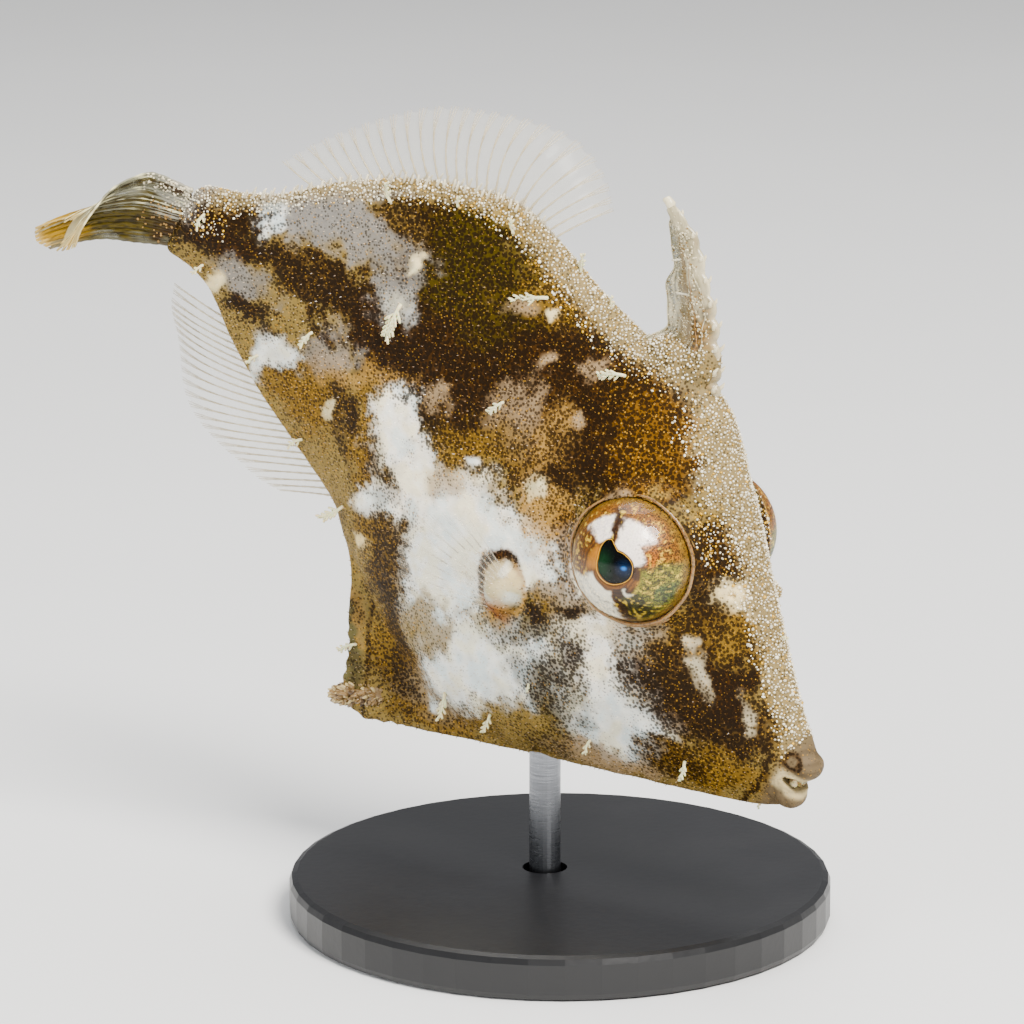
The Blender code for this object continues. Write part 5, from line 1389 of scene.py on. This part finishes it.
def tailTone(shares, places):
    # pale glassy upper rays that fold over, dark olive behind them, yellow tips and a clear lower edge
    field = np.column_stack([shares * 6, places * 5, np.zeros(len(shares))])
    drift = 0.08 * fieldNoise(field, 0.5, 61)
    along, across = shares + drift, places + drift
    dark = softStep(0.34, 0.44, across)
    specks = patches(field * [1, 2.5, 1], 0.16, 62, 0.0, 0.3) * dark
    layers = [
        (dark, (0.29, 0.24, 0.0), 0.98),
        (specks * 0.85, (0.10, 0.07, 0.0), 0.98),
        (softStep(0.60, 0.82, along) * softStep(0.38, 0.5, places), (0.66, 0.50, 0.02), 0.95),
        (specks * softStep(0.6, 0.8, shares) * 0.5, (0.16, 0.11, 0.03), 0.97),
        (softStep(0.88, 0.98, along), (0.80, 0.66, 0.34), 0.95),
        (softStep(0.55, 0.85, along) * softStep(0.42, 0.34, places) * 0.8, (0.74, 0.65, 0.42), 0.9),
        (softStep(0.34, 0.04, along) * softStep(0.5, 0.3, places), (0.60, 0.58, 0.52), 0.7),
        (softStep(0.32, 0.04, along) * softStep(0.35, 0.6, places), (0.20, 0.13, 0.04), 1.0),
        (softStep(0.90, 0.98, across) * 0.8, (0.42, 0.41, 0.33), 0.6),
    ]
    tones = np.tile([*toned((0.55, 0.54, 0.44)), 0.55], (len(shares), 1))
    for share, rgb, thick in layers:
        tones = blended(tones, np.array([*toned(rgb), thick]), share)
    return np.clip(tones, 0, 1)


def tailRayTone(shares, places):
    tones = tailTone(shares, places)
    field = np.column_stack([shares * 7, places * 40, shares * 0])
    glint = patches(field, 0.5, 63, 0.05, 0.45) * softStep(0.42, 0.3, places) * 0.8
    tones[:, :3] = blended(tones[:, :3], toned(finPlan["tail"]["glint"]), glint)
    tones[:, 3] = np.clip(tones[:, 3] + 0.1 + glint * 0.4, 0, 1)
    return tones


def tailLine(place, shares):
    # one ray of the half-closed tail, from root to tip, between the guide rays
    plan = finPlan["tail"]
    reach = 1 - plan["notchDepth"] * math.exp(-((place - plan["notch"]) / 0.04) ** 2)
    starts = [start for start, _line in plan["guides"]]
    lines = np.array([lineAt(line, shares * reach) for _start, line in plan["guides"]])
    return np.array([[smoothCurve(list(zip(starts, lines[:, i, k])))(place) for k in range(3)]
                     for i in range(len(shares))], float)


def buildTailFin():
    plan = finPlan["tail"]
    rays, perRay, steps = plan["rays"], plan["columnsPerRay"], plan["steps"]
    shares, places, hollow, wave = (table.T for table in rayGrid(rays, steps, perRay))
    grid = []
    for share, place, dip, side in zip(shares, places, hollow, wave):
        line = tailLine(place[0], share)
        line[:, 2] += 0.07 * share * side + 0.12 * share ** 2 * np.sin(place * 14)
        line += (line[-1] - line[-4]) * (-0.5 * dip * share ** 8)[:, None]
        grid.append(inWorld(*line.T))
    grid = np.array(grid).transpose(1, 0, 2)
    columns = grid.shape[1]
    pile = newPile()
    finSkin(pile, grid, plan["skinHalf"], tailTone)
    middle = int(columns * plan["fold"]) // perRay * perRay
    halves = {"upper": (0, middle), "lower": (middle, columns)}
    for half, step, radius in plan["strands"]:
        finRays(pile, [grid[:, j] for j in range(*halves[half], step)], radius, tailRayTone)
    rng = np.random.default_rng(plan["beadSeed"])
    for _bead in range(plan["beads"]):
        share, place = rng.uniform(0, 1) ** 2 * 0.3, rng.uniform(0, 1) ** 1.6
        if rng.random() < place * 0.5:
            continue
        row, column = int(share * (steps - 1)), int(place * (columns - 2))
        spot = grid[row, column] + (grid[row + 1, column + 1] - grid[row, column]) * rng.random()
        off = np.array([0.0, plan["beadOut"] if rng.random() < 0.4 else -plan["beadOut"], 0.0])
        size = plan["beadRadius"] * rng.uniform(0.5, 1.2) * (1 - share)
        tone = toned(plan["upperBead" if place < 0.45 else "lowerBead"]) * rng.uniform(0.5, 1.1)
        radii = [size, size * 0.9, size * 0.45]
        addTube(pile, [spot + off * 0.4, spot + off, spot + off * 1.5], radii, 6, tone)
    addPiece("tailFinSkin", meshOfPile("tailFinSkin", pile, "finTone"), tailMaterial, "fin", "tail_fin")


def buildPectoral(hand, word):
    plan = finPlan["pectoral"]
    share, place, hollow, wave = rayGrid(plan["rays"], 18, finPlan["columnsPerRay"])
    place = place - 0.5
    fan = np.radians(plan["fan"] * place + plan["turn"])
    reach = plan["length"] * (1 - 1.1 * place * place) * share
    reach = reach * (1 - finPlan["scallop"] * share ** 3 * hollow)
    rootBack, rootUp = plan["back"] + 0.25 * place, plan["up"] - plan["height"] * place
    side = skinHalfWidth(rootBack, rootUp) + 0.15 + reach * math.tan(math.radians(plan["spread"]))
    side += 0.5 * share + 0.05 * share * wave
    grid = inWorld(rootBack + reach * np.cos(fan), rootUp - reach * np.sin(fan), hand * side)
    addClearFin("sideFin_" + word, "pectoral_fin_" + word, grid, sideFinLook)


edgeFin("softDorsalFin", "soft_dorsal_fin", finPlan["dorsal"], backUp, 1)
edgeFin("analFinSkin", "anal_fin", finPlan["anal"], bellyUp, -1)
buildTailFin()
for hand, word in ((1, "left"), (-1, "right")):
    buildPectoral(hand, word)
print("fins built")


# Dorsal spine: a tapering clear blade with a saw of barbs in front and a web of skin behind
spinePlan = {
    "line": [(13.6, 9.4), (14.9, 11.7), (16.4, 13.3), (17.9, 14.6), (19.25, 15.2)],
    "radii": [0.78, 0.66, 0.52, 0.40, 0.24],
    "web": [(17.1, 9.0), (16.75, 10.4), (17.0, 11.6), (17.75, 12.8), (18.35, 13.9), (19.0, 15.0)],
    "rows": 110, "around": 22, "lobes": 9, "grains": 900, "webRows": 19, "webColumns": 40, "webGrains": 1500,
    "pelvic": [(18.7, -13.5), (19.5, -14.25), (20.2, -14.8), (20.9, -15.5)],
    "pelvicRadii": [0.7, 0.82, 0.86, 0.72, 0.34], "pelvicSteps": 18, "bristles": 420,
    "seed": 12, "bristleSeed": 13, "ribPlaces": (0.52, 0.72),
    "tones": {"glass": (0.53, 0.49, 0.36), "chalk": (0.86, 0.81, 0.66), "peach": (0.62, 0.46, 0.26),
              "hide": (0.50, 0.36, 0.10), "fleck": (0.50, 0.37, 0.13), "rib": (0.92, 0.88, 0.76),
              "web": (0.47, 0.46, 0.34), "webRoot": (0.56, 0.46, 0.27), "knob": (0.44, 0.34, 0.20),
              "pale": (0.78, 0.68, 0.46), "tan": (0.56, 0.44, 0.26), "brown": (0.30, 0.21, 0.09)},
}
spineFinish = {"roughness": 0.32, "grain": 6000.0, "depth": 0.00003, "strength": 0.5, "tint": 0.18,
               "veil": True, "shader": {"Coat Weight": 0.25, "Coat Roughness": 0.12}}
spineMaterial = tonedMaterial("clearSpine", "spineTone", spineFinish)
spineTones = {name: toned(rgb) for name, rgb in spinePlan["tones"].items()}

# the blade's middle line at even shares, the ways ahead and to its front edge, its radii and its sway
bladeShares = np.linspace(0, 1, spinePlan["rows"])
bladeLine = lineAt(spinePlan["line"], bladeShares)
bladeAhead = unit(np.gradient(bladeLine, axis=0))
bladeFront = np.stack([-bladeAhead[:, 1], bladeAhead[:, 0]], axis=1)
bladeRadii = evenCurve(spinePlan["radii"])(bladeShares)
bladeSway = 0.06 * np.sin(bladeShares * 18)


def addBlade(pile):
    rows, around, chalk = spinePlan["rows"], spinePlan["around"], spineTones["chalk"]
    turn = np.arange(around) * 2 * math.pi / around
    fore, aft, radii = np.maximum(np.cos(turn), 0), np.minimum(np.cos(turn), 0), bladeRadii[:, None]
    lobes = np.abs(np.sin(math.pi * bladeShares ** 0.9 * spinePlan["lobes"])) ** 0.8
    forward = fore * (0.98 + 0.4 * lobes[:, None]) + aft * 0.85
    flat = bladeLine[:, None] + bladeFront[:, None] * (forward * radii)[..., None]
    groove = 1 - 0.22 * np.exp(-((np.cos(turn) - 0.25) / 0.16) ** 2)
    side = 0.72 * radii * np.sin(turn) * (1 - 0.35 * fore) * groove + bladeSway[:, None]
    rings = inWorld(flat[..., 0], flat[..., 1], side)
    points = np.concatenate([rings.reshape(-1, 3), [rings[0].mean(0)], [rings[-1].mean(0)]])

    # glassy, whiter and warmer in front, with the hide's colours over its foot
    level, fore = np.repeat(bladeShares, around), np.tile(fore, rows)
    place = np.column_stack([level * 8, fore * 2, np.zeros(len(level))])
    whiter = np.clip(0.3 + 0.45 * fieldNoise(place, 0.4, 71) + 0.45 * fore ** 14, 0, 1)
    warm = 0.5 * patches(place, 0.8, 72, 0.25, 0.6) * fore ** 3
    hide = softStep(0.6, 0.34, level + 0.12 * fieldNoise(place, 0.3, 73)) * (1 - 0.75 * fore ** 2)
    dotted = patches(place * [4, 6, 1], 0.3, 74, 0.0, 0.35)[:, None]
    tone = blended(blended(spineTones["glass"], chalk, whiter), spineTones["peach"], warm)
    tone = blended(tone, spineTones["hide"] * (1 - 0.8 * dotted), hide)
    tones = np.column_stack([tone, 0.86 + 0.14 * hide])
    addToPile(pile, points, ringFaces(rows, around), np.concatenate([tones, tones[:1], tones[-1:]]))
    tipBack, tipUp = bladeLine[-1]
    along, above = np.array([-0.1, 0.1, 0.32, 0.46]), np.array([-0.1, 0.12, 0.16, 0.04])
    knob = inWorld(tipBack + along, tipUp + above, 0.0)
    addTube(pile, knob, [0.16, 0.22, 0.2, 0.09], 10, chalk)


def addBarbs(pile):
    # barbs in pairs down the front edge, and two veins on each side
    rows, chalk = spinePlan["rows"], spineTones["chalk"]
    for b in range(spinePlan["lobes"] * 2):
        k = int(np.clip(((b // 2 + 0.55) / spinePlan["lobes"]) ** 1.1, 0, 1) * (rows - 1))
        size = bladeRadii[k]
        root = bladeLine[k] + bladeFront[k] * size * 1.05
        point = bladeLine[k] + bladeFront[k] * size * 1.38 + bladeAhead[k] * size * 0.5
        side = np.array([0.2, 0.42, 0.36]) * size * (-1 if b % 2 else 1)
        path = inWorld(*np.array([root, (root + point) / 2, point]).T, side)
        addTube(pile, path, np.array([0.11, 0.075, 0.025]) * (1.1 - 0.35 * bladeShares[k]), 7, chalk, 0.98)
    for hand in (-1, 1):
        for middle, drift, tone in ((0.42, 0.5, chalk * 0.9), (-0.25, 3.6, spineTones["peach"])):
            span = np.linspace(0.06, 0.78 - 0.2 * abs(middle), 30)
            k = (span * (rows - 1)).astype(int)
            offset = middle + 0.16 * np.sin(span * 15 + drift) + 0.06 * np.sin(span * 47)
            flat = bladeLine[k] + bladeFront[k] * (offset * bladeRadii[k])[:, None]
            side = hand * 0.70 * bladeRadii[k] * np.sqrt(1 - offset ** 2) * (1 - 0.3 * np.maximum(offset, 0))
            addTube(pile, inWorld(*flat.T, side + bladeSway[k]), np.linspace(0.042, 0.015, 30), 6, tone, 0.7)


def addBladeGrains(pile, rng):
    for _grain in range(spinePlan["grains"]):
        share = 0.15 + 0.83 * rng.random() ** 2.0
        k = int(share * (spinePlan["rows"] - 1))
        turn = rng.uniform(0.2, 2.7)
        hand = 1 if rng.random() < 0.5 else -1
        off = bladeFront[k] * math.cos(turn) * bladeRadii[k] * 0.82
        side = hand * math.sin(turn) * bladeRadii[k] * 0.68
        root = np.array([*(bladeLine[k] + off), side])
        point = root + np.array([*(off * 0.12 + bladeAhead[k] * 0.05), side * 0.16])
        radii = np.array([0.05, 0.03]) * rng.uniform(0.5, 1.2)
        dark = rng.random() < 0.5 * (1 - share)
        tone = spineTones["fleck"] if dark else spineTones["chalk"] * rng.uniform(0.6, 1.1)
        addTube(pile, inWorld(*np.array([root, point]).T), radii, 5, tone)


def webTone(shares, places):
    # grainy and warm by the blade, frosted in patches towards the edge
    field = np.column_stack([shares * 30, places * 12, shares * 0])
    grainy = softStep(0.8, 0.35, shares + 0.1 * fieldNoise(field, 2.0, 76))
    frost = patches(field * [0.3, 0.5, 1], 0.5, 77, 0.0, 0.5) * (1 - grainy) * 0.6
    base = blended(spineTones["web"], spineTones["webRoot"], grainy)
    base = base * (0.75 + 0.35 * fieldNoise(field, 0.5, 75)[:, None])
    thick = 0.55 + 0.45 * np.maximum(grainy, frost)
    return np.column_stack([blended(base, spineTones["chalk"], frost), thick])


def addWeb(pile, rng):
    # the skin behind the blade, rippled and with a drawn edge, with grains on both sides and two ribs
    last, chalk = spinePlan["webColumns"] - 1, spineTones["chalk"]
    shares = np.linspace(0, 1, last + 1)
    edge = lineAt(spinePlan["web"], shares)
    core = lineAt(spinePlan["line"], np.clip(shares * 0.93 + 0.05, 0, 1))
    grid = []
    for place in np.linspace(0, 1, spinePlan["webRows"]):
        flat = core + (edge - core) * place
        ripple = 0.16 * np.sin(shares * 13 + place * 5) * (1 - shares) + 0.07 * np.sin(shares * 31)
        pull = 0.18 * np.sin(shares * math.pi * 5) * place ** 2
        grid.append(inWorld(flat[:, 0] + pull, flat[:, 1], ripple * place))
    grid = np.array(grid)
    finSkin(pile, grid, 0.05, webTone)
    for _grain in range(spinePlan["webGrains"]):
        i, j = int((0.15 + 0.85 * rng.random() ** 1.7) * last), int(rng.uniform(2, spinePlan["webRows"] - 1))
        spot, along, across = grid[j, i], grid[j, i + 1] - grid[j, i], grid[j + 1, i] - grid[j, i]
        spot = spot + along * rng.random() + across * rng.random()
        off = np.array([0.0, -0.075 if rng.random() < 0.5 else 0.075, 0.0])
        radii = np.array([0.042, 0.022]) * rng.uniform(0.5, 1.3)
        tone = spineTones["fleck"] if rng.random() < 0.45 * (1 - i / last) else chalk
        addTube(pile, [spot, spot + off], radii, 5, tone * rng.uniform(0.6, 1.1))
    addTube(pile, grid[-1], np.linspace(0.06, 0.035, last + 1), 6, chalk, 0.9)
    for place in spinePlan["ribPlaces"]:
        root, tip = lineAt(spinePlan["line"], place), lineAt(spinePlan["web"], place - 0.02)
        rib = root + (tip - root) * np.linspace(0, 0.95, 8)[:, None]
        line = inWorld(*rib.T, 0.05 * np.sin(np.arange(8)))
        addTube(pile, line, np.linspace(0.07, 0.05, 8), 6, spineTones["rib"], 0.9)


def buildDorsalSpine():
    rng = np.random.default_rng(spinePlan["seed"])
    pile = newPile()
    addBlade(pile)
    addBarbs(pile)
    addBladeGrains(pile, rng)
    addWeb(pile, rng)
    mesh = meshOfPile("dorsalSpineBlade", pile, "spineTone")
    addPiece("dorsalSpineBlade", mesh, spineMaterial, "spine", "dorsal_spine")


def buildPelvicSpine():
    # a short stump thick with bristles
    rng = np.random.default_rng(spinePlan["bristleSeed"])
    pile = newPile()
    shares = np.linspace(0, 1, spinePlan["pelvicSteps"])
    line = lineAt(spinePlan["pelvic"], shares)
    radii = evenCurve(spinePlan["pelvicRadii"])(shares)
    ahead = unit(np.gradient(line, axis=0))
    stump = tube(inWorld(*line.T, 0.0), radii * 0.62, 14, flat=0.9)
    addToPile(pile, *stump, (*spineTones["knob"], 1.0))
    for _bristle in range(spinePlan["bristles"]):
        share = rng.uniform(0.0, 1.0) ** 0.8
        k = int(share * (len(shares) - 1))
        turn = rng.uniform(0, 2 * math.pi)
        flat = np.array([-ahead[k, 1], ahead[k, 0]]) * math.cos(turn)
        off = np.array([*flat, math.sin(turn)]) * radii[k] * 0.6
        root = np.array([*line[k], 0.0]) + off * rng.uniform(0.8, 1.05)
        lean = np.array([*ahead[k], 0.0]) * rng.uniform(0.0, 0.22) * (0.4 + share)
        tip = root + off * rng.uniform(0.12, 0.4) + lean
        size = np.array([0.13, 0.13, 0.05]) * rng.uniform(0.5, 1.25)
        draw = rng.random()
        tone = "pale" if draw < 0.1 + 0.55 * share ** 2 else "tan" if draw < 0.8 else "brown"
        path = inWorld(*np.array([root - off * 0.3, root, tip]).T)
        addTube(pile, path, size, 6, spineTones[tone] * rng.uniform(0.7, 1.1))
    mesh = meshOfPile("pelvicSpineKnob", pile, "spineTone")
    addPiece("pelvicSpineKnob", mesh, spineMaterial, "spine", "pelvic_spine")


buildDorsalSpine()
buildPelvicSpine()
print("spines built")


# Stand: satin black base and a brushed steel rod, as the solids are
standPlan = {"base": (0.055, 0.055, 0.06), "dust": (0.12, 0.12, 0.125),
             "rod": (0.62, 0.63, 0.65), "brushed": (0.42, 0.43, 0.45)}


def baseMaterial():
    made, tree, shader = newMaterial("satinBase", {})
    place = placeOf(tree)
    peel, dust = noise(tree, place, 2600.0, 4.0), noise(tree, place, 300.0, 6.0)
    colour = mixColour(tree, times(tree, dust, 0.5), toned(standPlan["base"]), toned(standPlan["dust"]))
    wireUp(tree, shader, colour, scaled(tree, dust, 0.25, 0.25), peel, 0.25, 0.00004)
    return made


def rodMaterial():
    made, tree, shader = newMaterial("brushedRod", {"Metallic": 1.0})
    stretch = node(tree, "Mapping", Scale=(1.0, 1.0, 24.0))
    fill(tree, stretch.inputs["Vector"], placeOf(tree))
    lines = noise(tree, stretch.outputs[0], 900.0, 5.0)
    colour = mixColour(tree, lines, toned(standPlan["rod"]), toned(standPlan["brushed"]))
    wireUp(tree, shader, colour, scaled(tree, lines, 0.3, 0.15), lines, 0.2, 0.00001)
    return made


for nodeName, material in (("stand_base", baseMaterial()), ("stand_rod", rodMaterial())):
    solid = frame["nodes"][nodeName].data
    if not solid.materials:
        solid.materials.append(material)
    for index in range(len(solid.materials)):
        solid.materials[index] = material
print("stand finished")


# Studio: a pale floor, three soft lights and the camera
studio = {
    "azimuth": 37, "elevation": 14, "distance": 220.0, "perPixel": 0.0425, "snoutPixel": (812, 768),
    "pixels": 1024, "sensor": 36, "middle": (0.0, 0.0, 0.02), "sky": 0.36, "skyTone": (0.93, 0.95, 1.0, 1.0),
    "floorHalf": 2.5, "floorTones": ((0.74, 0.74, 0.73), (0.78, 0.78, 0.77)),
    # across, towards the camera and up from the middle, then size, power and colour
    "lights": {"keyLight": ((0.11, 0.17, 0.19), 0.14, 2.7, (1.0, 0.97, 0.93)),
               "fillLight": ((-0.24, 0.15, 0.06), 0.20, 0.75, (0.94, 0.97, 1.0)),
               "topLight": ((0.0, -0.10, 0.28), 0.22, 0.7, (1.0, 1.0, 1.0))},
}


def buildFloor():
    shape = bmesh.new()
    bmesh.ops.create_grid(shape, x_segments=8, y_segments=8, size=studio["floorHalf"])
    mesh = meshFrom(shape, "studioFloor")
    material, tree, shader = newMaterial("paleFloor", {"Roughness": 0.7})
    cloud = noise(tree, placeOf(tree), 40.0, 2.0)
    low, high = (np.array(tone) for tone in studio["floorTones"])
    wireUp(tree, shader, mixColour(tree, cloud, low, high))
    mesh.materials.append(material)
    addObject("studioFloor", mesh)


def buildStudio():
    a, e = math.radians(studio["azimuth"]), math.radians(studio["elevation"])
    right = Vector((math.cos(a), math.sin(a), 0))
    backward = Vector((math.sin(a) * math.cos(e), -math.cos(a) * math.cos(e), math.sin(e)))
    upward = right.cross(-backward)
    scale, centre = studio["perPixel"], studio["pixels"] / 2
    snout = Vector((bodyPlan["snoutX"], 0, bodyPlan["snoutZ"]))
    px, py = studio["snoutPixel"]
    target = snout - right * (px - centre) * scale + upward * (py - centre) * scale
    place = target + backward * studio["distance"]
    data = bpy.data.cameras.new("camera")
    data.sensor_width = studio["sensor"]
    data.lens = studio["sensor"] * studio["distance"] / (studio["pixels"] * scale)
    data.clip_start, data.clip_end = 0.005, 20
    camera = addObject("camera", data)
    turn = Matrix((right, upward, backward)).transposed().to_4x4()
    camera.matrix_world = Matrix.Translation(place * toMetres) @ turn
    bpy.context.scene.camera = camera

    middle = Vector(studio["middle"])
    for name, ((across, ahead, height), size, power, colour) in studio["lights"].items():
        data = bpy.data.lights.new(name, "AREA")
        data.shape, data.size, data.energy, data.color = "DISK", size, power, colour
        light = addObject(name, data)
        light.location = middle + right * across + backward * ahead + Vector((0, 0, height))
        light.rotation_euler = (middle - light.location).to_track_quat("-Z", "Y").to_euler()
        light.visible_glossy = name != "fillLight"  # no second highlight on the eyes
    world = bpy.data.worlds.new("studioWorld")
    world.use_nodes = True
    sky = world.node_tree.nodes["Background"].inputs
    sky["Color"].default_value, sky["Strength"].default_value = studio["skyTone"], studio["sky"]
    bpy.context.scene.world = world


buildFloor()
buildStudio()
print("studio ready")
